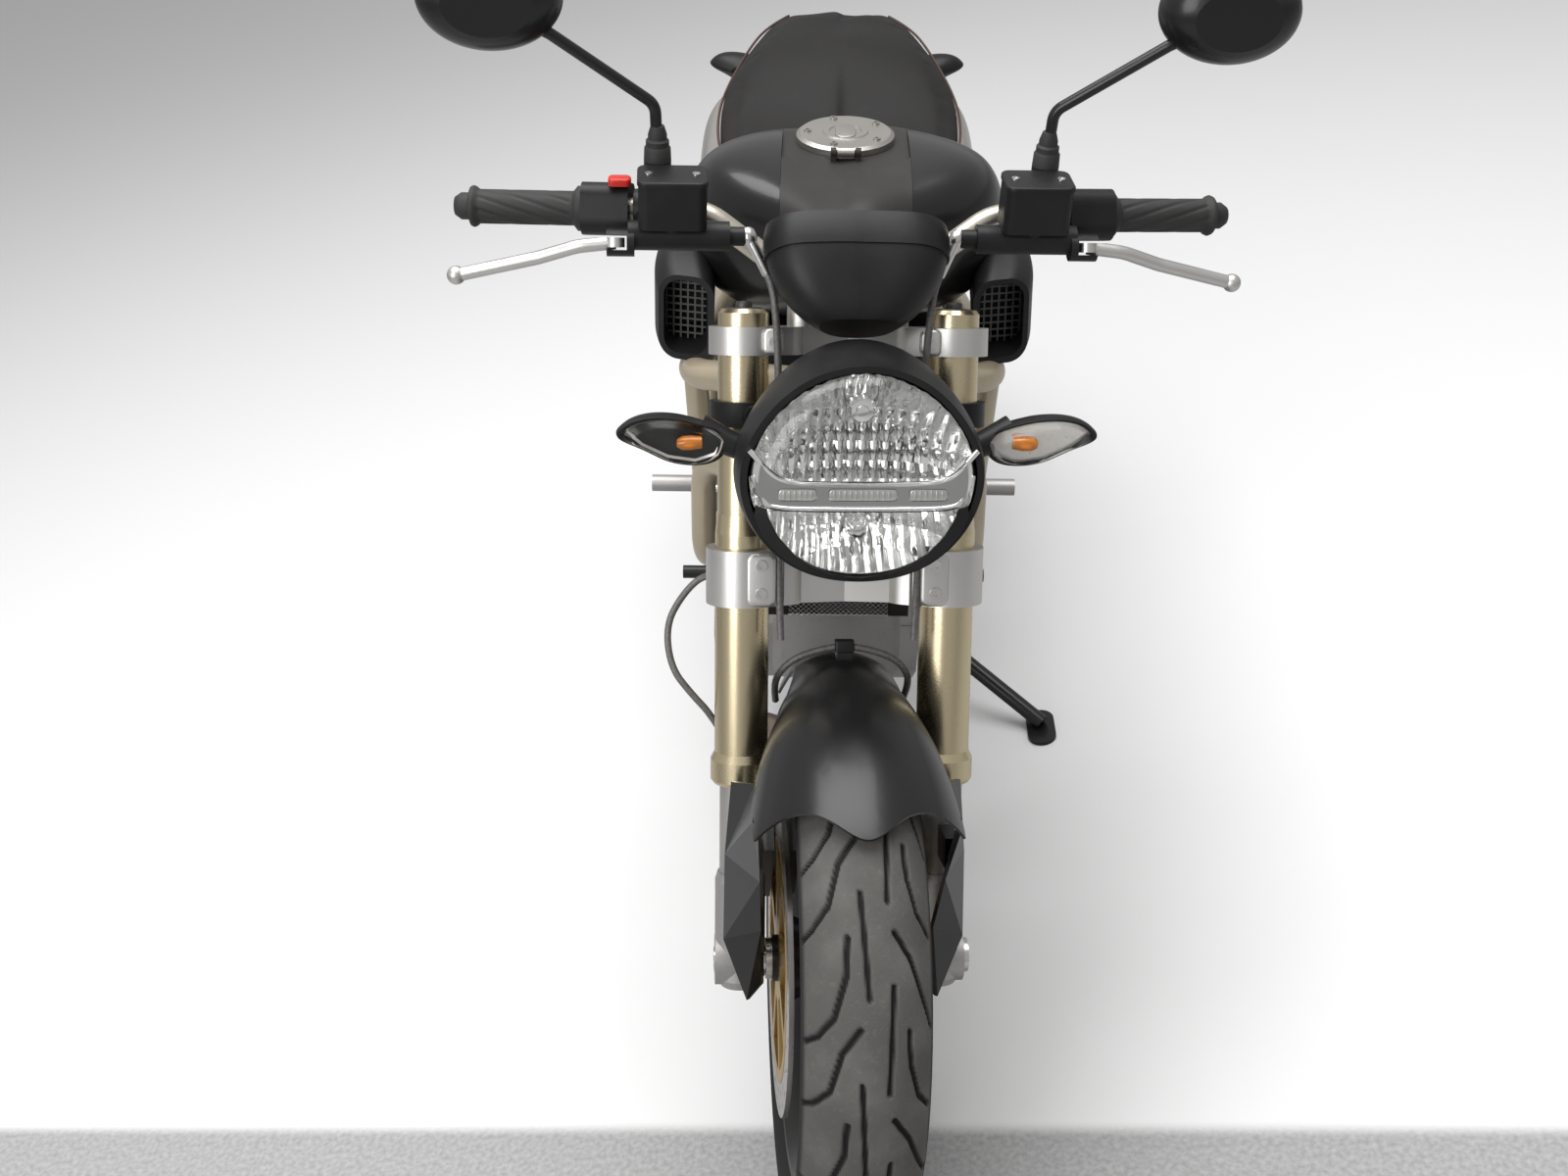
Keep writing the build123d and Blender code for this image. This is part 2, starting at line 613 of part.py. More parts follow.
def headlamp_lens():
    scale = LENS_SCALE - 0.004
    inner = scale - LENS_T / LAMP_HALF_W
    dome = lamp_loft([
        (-4, scale, scale, scale), (4, 0.89, 0.89, 0.89), (LENS_BULGE, 0.6, 0.6, 0.6),
    ])
    dome -= lamp_loft([
        (-5, inner, inner, inner), (4 - LENS_T, 0.86, 0.86, 0.86), (LENS_BULGE - LENS_T, 0.58, 0.58, 0.58),
    ])
    dome -= extrude(Pos(0, 0, -6) * trim_outline(SEAT_GAP), amount=40)
    return [FORK * LAMP * piece for piece in dome.solids()]


def headlamp_trim():
    bar = extrude(Pos(0, 0, -4) * trim_outline(0), amount=4 + TRIM_T)
    bar &= lamp_loft([(-5, 0.934, 0.934, 0.934), (4, 0.9, 0.9, 0.9), (LENS_BULGE, 0.7, 0.7, 0.7)])
    for x, width in ((-60, 36), (0, 64), (60, 36)):
        window = RectangleRounded(width, 12, 4)
        bar -= extrude(Pos(x, -13, TRIM_T - 3) * window, amount=20)
    return [FORK * LAMP * bar]


POD_TILT = 40.0
POD = level_frame(0, -72, 722) * Plane(
    origin=(0, 29, -2), x_dir=(1, 0, 0),
    z_dir=(0, -cos(radians(POD_TILT)), -sin(radians(POD_TILT))),
)


def instrument():
    def ring(deep, across, upwards, downwards):
        half = [
            (0, 45 * upwards), (40 * across, 44 * upwards), (70 * across, 36 * upwards), (88 * across, 6),
            (72 * across, -30 * downwards), (40 * across, -42 * downwards), (0, -46 * downwards),
        ]
        return closed_curve([(x, z, deep) for x, z in mirrored_outline(half)])

    hood = loft([ring(-10, 0.97, 0.97, 0.52), ring(6, 1.0, 1.0, 0.64), ring(22, 0.99, 0.98, 0.8)])
    nose = loft([
        ring(21, 0.965, 0.95, 0.78), ring(44, 0.88, 0.84, 0.86), ring(70, 0.66, 0.6, 0.78), ring(86, 0.4, 0.34, 0.6),
    ])
    screen = extrude(Pos(0, 10, -11) * RectangleRounded(120, 44, 16), amount=4)
    clamp_top = UPPER_CLAMP_LOW + UPPER_CLAMP_T
    stay = rod((0, -52, 690), (0, 20, clamp_top + 10), 7)
    foot = rod((0, 20, clamp_top + SEAT_GAP), (0, 20, clamp_top + 16), 11)
    body = POD * (hood + nose - screen) + stay + foot
    return [FORK * body]


INDICATOR_ROOT = (108.0, -84.0, 540.0)
INDICATOR_TIP = (220.0, -104.0, 559.0)
INDICATOR_DEEP = 30.0
LEAF = ((0, -2), (12, 7), (40, 10), (70, 3), (97, -18), (91, -32), (70, -39), (42, -33), (16, -18))
LEAF_CENTRE = (54.0, -13.0)


def leaf(scale, deep):
    """The head's leaf outline, its tip at the origin, at a depth behind the lens."""
    points = []
    for inwards, up in LEAF:
        x = LEAF_CENTRE[0] + (inwards - LEAF_CENTRE[0]) * scale
        z = LEAF_CENTRE[1] + (up - LEAF_CENTRE[1]) * scale
        points.append((-x, deep, z))
    return closed_curve(points)


def indicator(root, tip, upright):
    """A stalk, a leaf-shaped head and its lens, which faces along local -Y."""
    frame = Plane(origin=tip, x_dir=Vector(*tip) - Vector(*root), z_dir=upright)
    head = frame * loft([leaf(1.05, -1), leaf(1.04, 8), leaf(0.82, 20), leaf(0.44, INDICATOR_DEEP)])
    stalk = rod(root, frame.from_local_coords((-74, 14, -10)), 11, 15)
    pocket = frame * loft([leaf(0.972, -12), leaf(0.972, 6)], ruled=True)
    lens = frame * loft([leaf(0.958, 6 - SEAT_GAP), leaf(0.958, -3), leaf(0.8, -9)], ruled=True)
    return head + stalk - pocket, lens


LEVEL_UP = (0, -sin(radians(RAKE)), cos(radians(RAKE)))


def front_indicators():
    housing, _ = indicator(INDICATOR_ROOT, INDICATOR_TIP, LEVEL_UP)
    housing -= Pos(SEAT_GAP, 0, 0) * LAMP * shell_outside()
    return [FORK * piece for piece in both(housing)]


def front_indicator_lenses():
    _, lens = indicator(INDICATOR_ROOT, INDICATOR_TIP, LEVEL_UP)
    return [FORK * piece for piece in both(lens)]


def fender_section(angle, half_w, crown, edge):
    """An arch across the tyre on a half plane turned forwards from the fork line."""
    turn = radians(angle)
    plane = Plane(origin=(0, 0, 0), x_dir=(1, 0, 0), z_dir=(0, -cos(turn), -sin(turn)))
    inner = crown - FENDER_T
    slope = FENDER_T * 0.7
    arch = [
        ThreePointArc((-half_w, edge), (0, crown), (half_w, edge)),
        Line((half_w, edge), (half_w - slope, edge - slope)),
        ThreePointArc((half_w - slope, edge - slope), (0, inner), (slope - half_w, edge - slope)),
        Line((slope - half_w, edge - slope), (-half_w, edge)),
    ]
    return plane * make_face(arch)


def fender_cheek(side):
    """The panel that runs from the fender's side back to the fork leg and down to a point."""
    front = [(95, -168, 190), (90, -120, 127), (86, -80, 62), (84, -50, -7)]
    joint = [(99, -150, 198), (94, -86, 214)]
    back = [(115, -46, 205), (121, -46, 130), (122, -46, 40), (98, -46, -26)]
    corners = [
        (front[0], joint[0], front[1]), (joint[0], back[1], front[1]), (joint[0], joint[1], back[1]),
        (joint[1], back[0], back[1]), (front[1], back[1], back[2]), (front[1], back[2], front[2]),
        (front[2], back[2], back[3]), (front[2], back[3], front[3]),
    ]
    inwards = Vector(-0.75 * side, 0.66, 0) * FENDER_T * 1.4
    panel = []
    for corner in corners:
        flat = make_face(Polyline(*[(side * x, y, z) for x, y, z in corner], close=True))
        panel.append(extrude(flat, amount=inwards.length, dir=inwards))
    cheek = panel[0]
    for piece in panel[1:]:
        cheek += piece
    lug_x = sorted((side * 98, side * 112))
    return cheek + block(lug_x, (-66, -SLIDER_R - SEAT_GAP), (118, 150))


def front_fender():
    crown = FRONT_TYRE_R + FENDER_GAP + FENDER_T
    body = loft([
        fender_section(-18, 60, crown + 6, crown - 40),
        fender_section(6, 66, crown + 4, crown - 46),
        fender_section(22, 94, crown, crown - 88),
        fender_section(38, 100, crown - 2, crown - 72),
        fender_section(52, 98, crown - 4, crown - 62),
    ])
    look = radians(40)
    view = Plane(origin=(0, 0, 0), x_dir=(1, 0, 0), z_dir=(0, -sin(look), cos(look)))
    half_edge = [(0, -47), (37, -22), (64, -10), (92, -11), (140, -16)]
    edge = Spline(*[(-x, up) for x, up in reversed(half_edge[1:])], *half_edge)
    trim = make_face([edge, Polyline((140, -16), (140, -300), (-140, -300), (-140, -16))])
    body -= extrude(view * trim, amount=500)
    body += fender_cheek(1) + fender_cheek(-1)
    clip = block((-8, 8), (-15, 3), (312, CROSSOVER_TOP - HOSE_R - CLIP_FALL - SEAT_GAP))
    return [FORK * (body + clip)]


def brake_hoses():
    """Two lines down from the bar, one over the fender from leg to leg and a loop beside the right leg."""
    route = [(100, -24, 736), (78, -36, 694), (72, -36, 640), (70, -27, 590), (70, -28, 440), (66, -34, 346)]
    line = tube(route, HOSE_BEND_R, HOSE_R)
    half = [(0, -6, CROSSOVER_TOP), (52, -6, CROSSOVER_TOP - 12), (70, 6, CROSSOVER_TOP - 36), (66, 34, 268)]
    crossover = tube([(-x, y, z) for x, y, z in reversed(half[1:])] + half, HOSE_BEND_R, HOSE_R)
    loop = tube([
        (-128.6, 26.7, 400), (-146, 44, 398), (-180, 30, 352), (-172, 18, 300), (-136, 18, 262), (-122, 24.4, 236),
    ], HOSE_BEND_R, HOSE_R)
    return [FORK * piece for piece in (*both(line), crossover, loop)]


def cylinder_frame(tilt_from_vertical):
    turn = radians(tilt_from_vertical)
    return Plane(origin=CRANK, x_dir=(1, 0, 0), z_dir=(0, sin(turn), cos(turn)))


def cylinder_unit():
    """A finned barrel and head along Z from the crank."""
    barrel = Pos(0, 0, BARREL_START) * Cylinder(56, HEAD_START - BARREL_START, align=BASE_ALIGN)
    flange = extrude(Pos(0, 0, BARREL_START) * RectangleRounded(140, 140, 22), amount=14)
    head = extrude(Pos(0, 0, HEAD_START) * RectangleRounded(116, 112, 16), amount=HEAD_END - HEAD_START - 22)
    cover = extrude(Pos(0, 0, HEAD_END - 24) * RectangleRounded(128, 96, 20), amount=24)
    unit = barrel + flange + head + cover
    fins = []
    count = int((HEAD_END - 34 - BARREL_START - 18) / FIN_PITCH)
    for k in range(count):
        z = BARREL_START + 22 + k * FIN_PITCH
        fins.append(extrude(Pos(0, 0, z) * RectangleRounded(FIN_W, FIN_W - 8, 18), amount=FIN_T))
    return unit + fins


def front_cylinder():
    return [cylinder_frame(CYLINDER_TILT - 90) * cylinder_unit()]


def rear_cylinder():
    return [cylinder_frame(CYLINDER_TILT) * cylinder_unit()]


def crankcase():
    outline = [
        (555, 330), (580, 235), (640, 178), (800, 178), (880, 250), (PIVOT[1] + 34, 330), (PIVOT[1] + 30, 430),
        (905, 470), (850, 500), (790, 520), (650, 520), (590, 500),
    ]
    body = side_plate(outline, -112, 224)
    for tilt in (CYLINDER_TILT - 90, CYLINDER_TILT):
        seat = extrude(RectangleRounded(140, 140, 22), amount=BARREL_START - SEAT_GAP)
        body += cylinder_frame(tilt) * seat
        body -= cylinder_frame(tilt) * block((-120, 120), (-90, 90), (BARREL_START - SEAT_GAP, 600))
    body -= Pos(*PIVOT) * Rot(0, 90, 0) * Cylinder(15 + SEAT_GAP, 400)
    slot = block((-200, 200), (PIVOT[1] - 40, PIVOT[1] + 60), (PIVOT[2] - 60, PIVOT[2] + 80))
    body -= slot - block((-70, 70), (0, 2000), (0, 2000))
    body -= block((CHAIN_X - CHAIN_W / 2 - 6, 200), (GEARBOX_OUT[0] - 54, 1100), (PIVOT[2] - 130, PIVOT[2] + 90))
    lug_axis = stand_axis().direction
    root = Vector(*STAND_PIVOT)
    low = root - lug_axis * (STAND_LUG_T / 2)
    lug = rod(low, low + lug_axis * STAND_LUG_T, STAND_LUG_R)
    inwards = (Vector(-1, 0, 0) + lug_axis * lug_axis.X).normalized()
    body += lug + rod(root, root + inwards * 112, STAND_LUG_T / 2 - 1)
    body -= rod(root - lug_axis * 60, root + lug_axis * 60, STAND_PIN_R + RUNNING_GAP)
    return [body]


def engine_covers():
    x = 112 + SEAT_GAP
    left = Pos(x, 700, 390) * Rot(0, 90, 0) * turned([(0, 0), (78, 0), (78, 24), (64, 40), (30, 44), (0, 44)])
    right = Pos(-x, 720, 370) * Rot(0, -90, 0) * turned([(0, 0), (108, 0), (108, 30), (94, 50), (30, 54), (0, 54)])
    guard_y, guard_z = GEARBOX_OUT
    guard = side_plate([
        (guard_y - 64, guard_z - 62), (guard_y - 64, guard_z + 62), (guard_y - 16, guard_z + 70),
        (guard_y + 34, guard_z + 62), (guard_y + 34, guard_z - 50),
    ], x, 8)
    return [left, right, guard]


def oil_cooler():
    core = block((-56, 56), (306, 334), (521.3, 604))
    for k in range(COOLER_SLOTS):
        low = 528 + k * COOLER_PITCH
        core -= block((-50, 50), (300, 312), (low, low + COOLER_PITCH / 2))
    tanks = block((-78, -56), (304, 336), (521.3, 608)) + block((56, 78), (304, 336), (521.3, 608))
    stay = block((40, 58), (330, 416), (521.3, 530))
    return [core + tanks + both(stay)]


def exhaust_pipes():
    reach = FIN_W / 2 - 4 + SEAT_GAP
    front_frame = cylinder_frame(CYLINDER_TILT - 90)
    port = front_frame.from_local_coords((-26, -reach, HEAD_START + 44))
    knee = front_frame.from_local_coords((-26, -reach - 96, HEAD_START + 44))
    inlet_x, inlet_y, inlet_z = SILENCER_INLET
    main = tube([
        port, knee, (-128, 520, 196), (-146, 720, 192), (-152, 890, 212), (-162, 992, 330), (-160, 988, 640),
        (-inlet_x, inlet_y - 48, inlet_z), (-inlet_x, inlet_y - SEAT_GAP, inlet_z),
    ], [44, 80, 90, 120, 70, 90, 30], EXHAUST_R)
    rear_port = cylinder_frame(CYLINDER_TILT).from_local_coords((-64, reach, HEAD_START + 30))
    rear_knee = cylinder_frame(CYLINDER_TILT).from_local_coords((-64, reach + 66, HEAD_START + 30))
    rear = tube([rear_port, rear_knee, (-158, 984, 600)], 50, EXHAUST_R)
    cross = tube([
        (-160, 988, 650), (-90, 1000, 690), (90, 1000, 690), (inlet_x, inlet_y - 44, inlet_z),
        (inlet_x, inlet_y - SEAT_GAP, inlet_z),
    ], [24, 24, 24], EXHAUST_R - 2)
    return [main + rear + cross]


def silencers():
    inlet_x, inlet_y, inlet_z = SILENCER_INLET

    def ring(back, up, half_w, half_h):
        place = Plane(origin=(0, inlet_y + back, inlet_z + up), x_dir=(1, 0, 0), z_dir=(0, 1, 0))
        return place * Ellipse(half_w, half_h)

    can = loft([ring(0, 0, 28, 30), ring(44, 2, 46, 52), ring(130, 6, 54, 62), ring(262, 10, 52, 60), ring(300, 12, 44, 52)])
    outlet = Pos(0, inlet_y + 270, inlet_z + 11) * Rot(-90, 0, 0) * Cylinder(24, 60, align=BASE_ALIGN)
    return both(Pos(inlet_x, 0, 0) * (can - outlet))


def frame_rail(radius):
    """The upper tube of the left side, from the steering head to the seat rails."""
    upper = FORK.from_local_coords((0, FORK_OFFSET, UPPER_CLAMP_LOW - 34))
    return tube([(10, upper.Y + 4, upper.Z), FRAME_SHOULDER, FRAME_REAR], 60, radius)


def frame():
    head_low = FORK.from_local_coords((0, FORK_OFFSET, LOWER_CLAMP_LOW + LOWER_CLAMP_T + 6))
    head_top = FORK.from_local_coords((0, FORK_OFFSET, UPPER_CLAMP_LOW - 6))
    head = rod(head_low, head_top, HEAD_R)
    lower = FORK.from_local_coords((0, FORK_OFFSET, LOWER_CLAMP_LOW + LOWER_CLAMP_T + 34))
    low_front = (156, 446, 640)
    knee = (158, 440, 480)
    low_rear = (130, 604, 486)
    main = frame_rail(TUBE_FRAME_R)
    down = tube([(10, lower.Y + 6, lower.Z), low_front, knee, low_rear], [50, 60], TUBE_FRAME_R - 2)
    brace_front = rod((160, 420, 764), (156, 446, 620), BRACE_R)
    brace_mid = rod((154, 452, 630), (146, 610, 736), BRACE_R)
    brace_rear = rod((146, 620, 734), (126, 756, 512), BRACE_R)
    post = rod((128, 842, 702), (126, 762, 508), BRACE_R)
    side = main + down + brace_front + brace_mid + brace_rear + post
    face = 112 + SEAT_GAP
    lug = rod((face, 604, 486), (144, 604, 486), 20) + rod((face, 760, 498), (140, 760, 498), 20)
    body = head + both(side + lug) + rod((-128, 842, 701), (128, 842, 701), 11)
    bore_low = Vector(head_low) - FORK.z_dir * 20
    body -= rod(bore_low, Vector(head_top) + FORK.z_dir * 20, STEM_R + RUNNING_GAP)
    return [body]


def subframe():
    end = Vector(*FRAME_REAR)
    along = (end - Vector(*FRAME_SHOULDER)).normalized()
    rail = tube([
        end + along * SEAT_GAP, end + along * 34, (118, 960, 716), (62, 1080, 764), (54, 1178, 791.5),
    ], [30, 60, 60], 11)
    left, right = both(rail)
    cross = rod((-58, 1140, 781), (58, 1140, 781), 9) + rod((-122, 920, 710), (122, 920, 710), 9)
    return [left + right + cross]


def airbox():
    box = fillet(block((-98, 98), (470, 676), (690, 783.6)).edges().filter_by(Axis.Z), 24)
    front_tract = rod((0, 560, 700), (0, 482, 532), 26)
    return [box + front_tract]


def tank_body():
    return stations([
        (368, [(0, 970), (40, 964), (60, 932), (54, 880), (0, 868)]),
        (408, [(0, 975), (62, 973), (98, 946), (96, 866), (0, 836)]),
        (470, [(0, 978), (76, 984), (138, 972), (152, 862), (0, 806)]),
        (547, [(0, 982), (80, 984), (150, 962), (166, 850), (0, 788)]),
        (640, [(0, 962), (84, 952), (146, 908), (150, 826), (0, 784)]),
        (730, [(0, 912), (70, 898), (116, 852), (112, 806), (0, 782)]),
        (796, [(0, 852), (50, 844), (86, 820), (80, 796), (0, 782)]),
    ])


def panel_zone():
    return block((-PANEL_HALF_W, PANEL_HALF_W), (PANEL_FRONT, PANEL_BACK), (PANEL_LOW, 1100))


def fuel_tank():
    return [tank_body() - panel_zone()]


def cap_hinge():
    return (0.0, CAP_CENTRE[1] - CAP_R - CAP_HINGE_R - 1, CAP_CENTRE[2] + 6)


def tank_panel():
    half = PANEL_HALF_W - SEAT_GAP
    zone = block((-half, half), (PANEL_FRONT, PANEL_BACK - SEAT_GAP), (PANEL_LOW + SEAT_GAP, 1100))
    body = tank_body() & zone
    x, y, z = CAP_CENTRE
    body += Pos(x, y, z - 26) * Cylinder(CAP_R + 5, 26, align=BASE_ALIGN)
    body -= Pos(x, y, z - 2) * Cylinder(CAP_R + 40, 60, align=BASE_ALIGN)
    body -= Pos(x, y, z - 200) * Cylinder(NECK_R, 400, align=BASE_ALIGN)
    hinge = Vector(*cap_hinge())
    pin = rod(hinge - Vector(16, 0, 0), hinge + Vector(16, 0, 0), CAP_PIN_R)
    for side in (1, -1):
        cheek = rod(hinge + Vector(side * 10, 0, 0), hinge + Vector(side * 16, 0, 0), CAP_HINGE_R)
        post = block((min(side * 10, side * 16), max(side * 10, side * 16)), (hinge.Y - 4, hinge.Y + 4), (z - 20, hinge.Z))
        body += cheek + post
    return [body + pin]


def fuel_cap():
    x, y, z = CAP_CENTRE
    lid = Pos(x, y, z - 2 + SEAT_GAP) * turned([
        (0, 0), (CAP_R, 0), (CAP_R, CAP_T - 3), (CAP_R - 4, CAP_T), (0, CAP_T),
    ])
    hinge = Vector(*cap_hinge())
    knuckle = rod(hinge - Vector(9, 0, 0), hinge + Vector(9, 0, 0), CAP_HINGE_R)
    strap = block((-9, 9), (hinge.Y, y - CAP_R + 6), (z - 1, z + 6))
    body = lid + knuckle + strap
    return [body - rod(hinge - Vector(30, 0, 0), hinge + Vector(30, 0, 0), CAP_PIN_R + RUNNING_GAP)]


def duct_section(y, x, z, width, height, turn):
    place = Plane(origin=(x, y, z), x_dir=(1, turn, 0), z_dir=(turn, -1, 0.12))
    return place * RectangleRounded(width, height, min(width, height) * 0.36)


def intake_ducts():
    outer = loft([
        duct_section(414, 168, 830, 62, 94, 0.25), duct_section(452, 172, 838, 66, 102, 0.16),
        duct_section(520, 168, 850, 52, 92, 0.04), duct_section(590, 156, 856, 26, 58, 0),
    ])
    mouth = loft([duct_section(405, 168, 829, 50, 82, 0.25), duct_section(470, 172, 840, 44, 80, 0.14)])
    duct = outer - mouth - Pos(SEAT_GAP, 0, 0) * tank_body() - frame_rail(TUBE_FRAME_R + SEAT_GAP)
    return both(duct)


def intake_grilles():
    mesh = RectangleRounded(58, 92, 18)
    mesh -= GridLocations(GRILLE_PITCH, GRILLE_PITCH, 7, 11) * Rectangle(GRILLE_PITCH - 2, GRILLE_PITCH - 2)
    place = Plane(origin=(171, 446, 837), x_dir=(1, 0.2, 0), z_dir=(0.2, -1, 0.12))
    plate = extrude(place * mesh, amount=3)
    mouth = loft([duct_section(405, 168, 829, 49.4, 81.4, 0.25), duct_section(470, 172, 840, 43.4, 79.4, 0.14)])
    return both((plate & mouth) - Pos(SEAT_GAP, 0, 0) * tank_body())


def seat():
    cushion = stations([
        (796.4, [(0, 850), (44, 843), (78, 820), (72, 786), (0, 770)]),
        (870, [(0, 806), (60, 804), (116, 790), (110, 752), (0, 742)]),
        (960, [(0, 812), (84, 814), (158, 800), (150, 758), (0, 744)]),
        (1040, [(0, 830), (92, 830), (168, 813), (154, 780), (0, 766)]),
        (1120, [(0, 872), (90, 864), (164, 830), (146, 802), (0, 790)]),
        (1230, [(0, 890), (76, 886), (130, 862), (112, 834), (0, 824)]),
        (1290, [(0, 893), (62, 890), (104, 879), (88, 852), (0, 842)]),
        (1330, [(0, 893), (44, 891), (72, 885), (60, 864), (0, 856)]),
    ])
    return [cushion - Pos(0, 0, SEAT_GAP) * tail_cowl()[0] - Pos(0, 0, SEAT_GAP) * subframe()[0]]


def tail_cowl():
    return [stations([
        (1180, [(0, 812), (40, 810), (62, 806), (52, 788), (0, 780)]),
        (1280, [(0, 832), (36, 830), (56, 826), (46, 806), (0, 798)]),
        (1370, [(0, 848), (32, 846), (48, 842), (40, 822), (0, 814)]),
    ])]


def tail_lamp():
    return [fillet(block((-40, 40), (1370.3, 1396), (820, 846)).edges().filter_by(Axis.Y), 8)]


def plate_hanger():
    arm = side_plate([
        (1290, 812), (1360, 826), (1475, 738), (1606, 640), (1600, 622), (1465, 700), (1290, 786),
    ], -HANGER_HALF_W, 2 * HANGER_HALF_W)
    return [arm - Pos(0, 0, -SEAT_GAP) * tail_cowl()[0] - block((-60, 60), (1200, 1371), (818, 900))]


REAR_INDICATOR_Y = 1464.0
REAR_ROOT = (20.0, REAR_INDICATOR_Y, 724.0)
REAR_TIP = (196.0, REAR_INDICATOR_Y, 776.0)


def facing_back(piece):
    return mirror(piece, about=Plane(origin=(0, REAR_INDICATOR_Y, 0), z_dir=(0, 1, 0)))


def rear_indicators():
    housing, _ = indicator(REAR_ROOT, REAR_TIP, (0, 0, 1))
    housing -= block((0, HANGER_HALF_W + SEAT_GAP), (1300, 1600), (600, 900))
    return both(facing_back(housing))


def rear_indicator_lenses():
    _, lens = indicator(REAR_ROOT, REAR_TIP, (0, 0, 1))
    return both(facing_back(lens))


def swingarm():
    y0, z0 = PIVOT[1], PIVOT[2]
    y1, z1 = REAR_AXLE[1], REAR_AXLE[2]
    arm = side_plate([
        (y0 - 28, z0 - 26), (y0 - 28, z0 + 26), (y0 + 60, z0 + 34), (y1 - 120, z1 + 40), (y1 + 40, z1 + 28),
        (y1 + 46, z1 - 22), (y1 - 120, z1 - 34), (y0 + 60, z0 - 42),
    ], ARM_X - ARM_W / 2, ARM_W)
    cross = block((-ARM_X, ARM_X), (y0 + 66, y0 + 118), (z0 - 44, z0 + 10))
    body = both(arm)
    body = body[0] + body[1] + cross
    body -= rod((-300, y1, z1), (300, y1, z1), AXLE_R + SEAT_GAP)
    body -= rod((-300, y0, z0), (300, y0, z0), 15 + SEAT_GAP)
    outer = ARM_X + ARM_W / 2
    for side in (1, -1):
        mouth = (side * (outer + 1), y1 - BOBBIN_BACK, z1)
        body -= rod(mouth, (side * (outer - BOBBIN_DEPTH), y1 - BOBBIN_BACK, z1), BOBBIN_R)
    bracket = block((-ARM_X, -REAR_DISC_X - CALIPER_W / 2 - SEAT_GAP), (y1 - 96, y1 - 60), (z1 - 52, z1 - 12))
    return [body + bracket]


def rear_axle():
    end = ARM_X + ARM_W / 2 + 8
    shaft = Pos(*REAR_AXLE) * turned_across([
        (-end, AXLE_BORE_R), (-end, AXLE_R), (end - 8 + SEAT_GAP, AXLE_R), (end - 8 + SEAT_GAP, AXLE_R + 8),
        (end, AXLE_R + 8), (end, AXLE_BORE_R),
    ])
    pivot = Pos(*PIVOT) * turned_across([(-end, 0), (-end, 15), (end, 15), (end, 0)])
    inner = ARM_X - ARM_W / 2 - SEAT_GAP
    spacer = Pos(*REAR_AXLE) * turned_across([
        (REAR_BOSS + SEAT_GAP, AXLE_R + SEAT_GAP), (REAR_BOSS + SEAT_GAP, 20), (inner, 20), (inner, AXLE_R + SEAT_GAP),
    ])
    return [shaft, pivot, *both(spacer)]


def shock():
    top = (0, 864, 677.4)
    bottom = (0, 1016, 411.5)
    along = Vector(*bottom) - Vector(*top)
    body = rod(top, Vector(*top) + along * 0.55, 26)
    shaft = rod(top, bottom, 9)
    eye = rod((-14, top[1], top[2]), (14, top[1], top[2]), 18)
    lower = rod((-14, bottom[1], bottom[2]), (14, bottom[1], bottom[2]), 16)
    perch = rod(Vector(*top) + along * 0.86, Vector(*top) + along * 0.92, 34)
    collar = rod(Vector(*top) + along * 0.1, Vector(*top) + along * 0.17, 34)
    return [body + shaft + eye + lower + perch + collar]


def chain():
    """Link plates joined in a band round both sprockets, and the small sprocket on its shaft."""
    circles = [Pos(*GEARBOX_OUT) * Circle(sprocket_pitch_r(FRONT_TEETH))]
    circles.append(Pos(REAR_AXLE[1], REAR_AXLE[2]) * Circle(sprocket_pitch_r(REAR_TEETH)))
    line = make_hull([edge for circle in circles for edge in circle.edges()]).face().outer_wire()
    links = 2 * round(line.length / CHAIN_PITCH / 2)

    def edge_points(side):
        points = []
        for k in range(2 * links):
            half_h = CHAIN_WAIST_H if k % 2 else CHAIN_HALF_H
            across = (line % (k / (2 * links))).cross(Vector(0, 0, 1))
            point = line @ (k / (2 * links)) + across * (side * half_h)
            points.append((point.X, point.Y))
        return make_face(Polyline(*points, close=True))

    edges = sorted([edge_points(1), edge_points(-1)], key=lambda face: face.area)
    plane = Plane(origin=(CHAIN_X - CHAIN_W / 2, 0, 0), x_dir=(0, 1, 0), z_dir=(1, 0, 0))
    band = extrude(plane * (edges[1] - edges[0]), amount=CHAIN_W)
    cog = Pos(CHAIN_X, *GEARBOX_OUT) * sprocket(FRONT_TEETH, 10, SPROCKET_T, -0.4)
    stub = rod((CHAIN_X - CHAIN_W / 2 - 6 + SEAT_GAP, *GEARBOX_OUT), (CHAIN_X + CHAIN_W / 2, *GEARBOX_OUT), 14)
    return [band, cog + stub]


def rear_caliper():
    place = caliper_frame(REAR_AXLE, -130)
    return [place * caliper(-REAR_DISC_X, REAR_DISC_R)]


def footrests():
    face = ARM_X + ARM_W / 2 + 8 + SEAT_GAP
    hanger = side_plate([
        (846, 420), (884, 426), (952, 402), (952, 366), (900, 330), (872, 326), (856, 352),
    ], face, 10)
    peg = rod((face + 8, 882, 342), (262, 882, 342), 12)
    return both(hanger + peg)


def foot_controls():
    face = ARM_X + ARM_W / 2 + 18 + 2 * SEAT_GAP
    boss = rod((face, 868, 384), (face + 14, 868, 384), 10)
    shift = tube([(face + 7, 868, 384), (170, 790, 318), (172, 700, 310)], 30, 6)
    toe = rod((166, 700, 310), (206, 700, 310), 9)
    return both(boss + shift + toe)


def stand_axis():
    start = Vector(*STAND_PIVOT)
    out = (Vector(*STAND_FOOT) - start).normalized()
    back = (Vector(*STAND_FOLDED) - start).normalized()
    return Axis(STAND_PIVOT, out.cross(back))


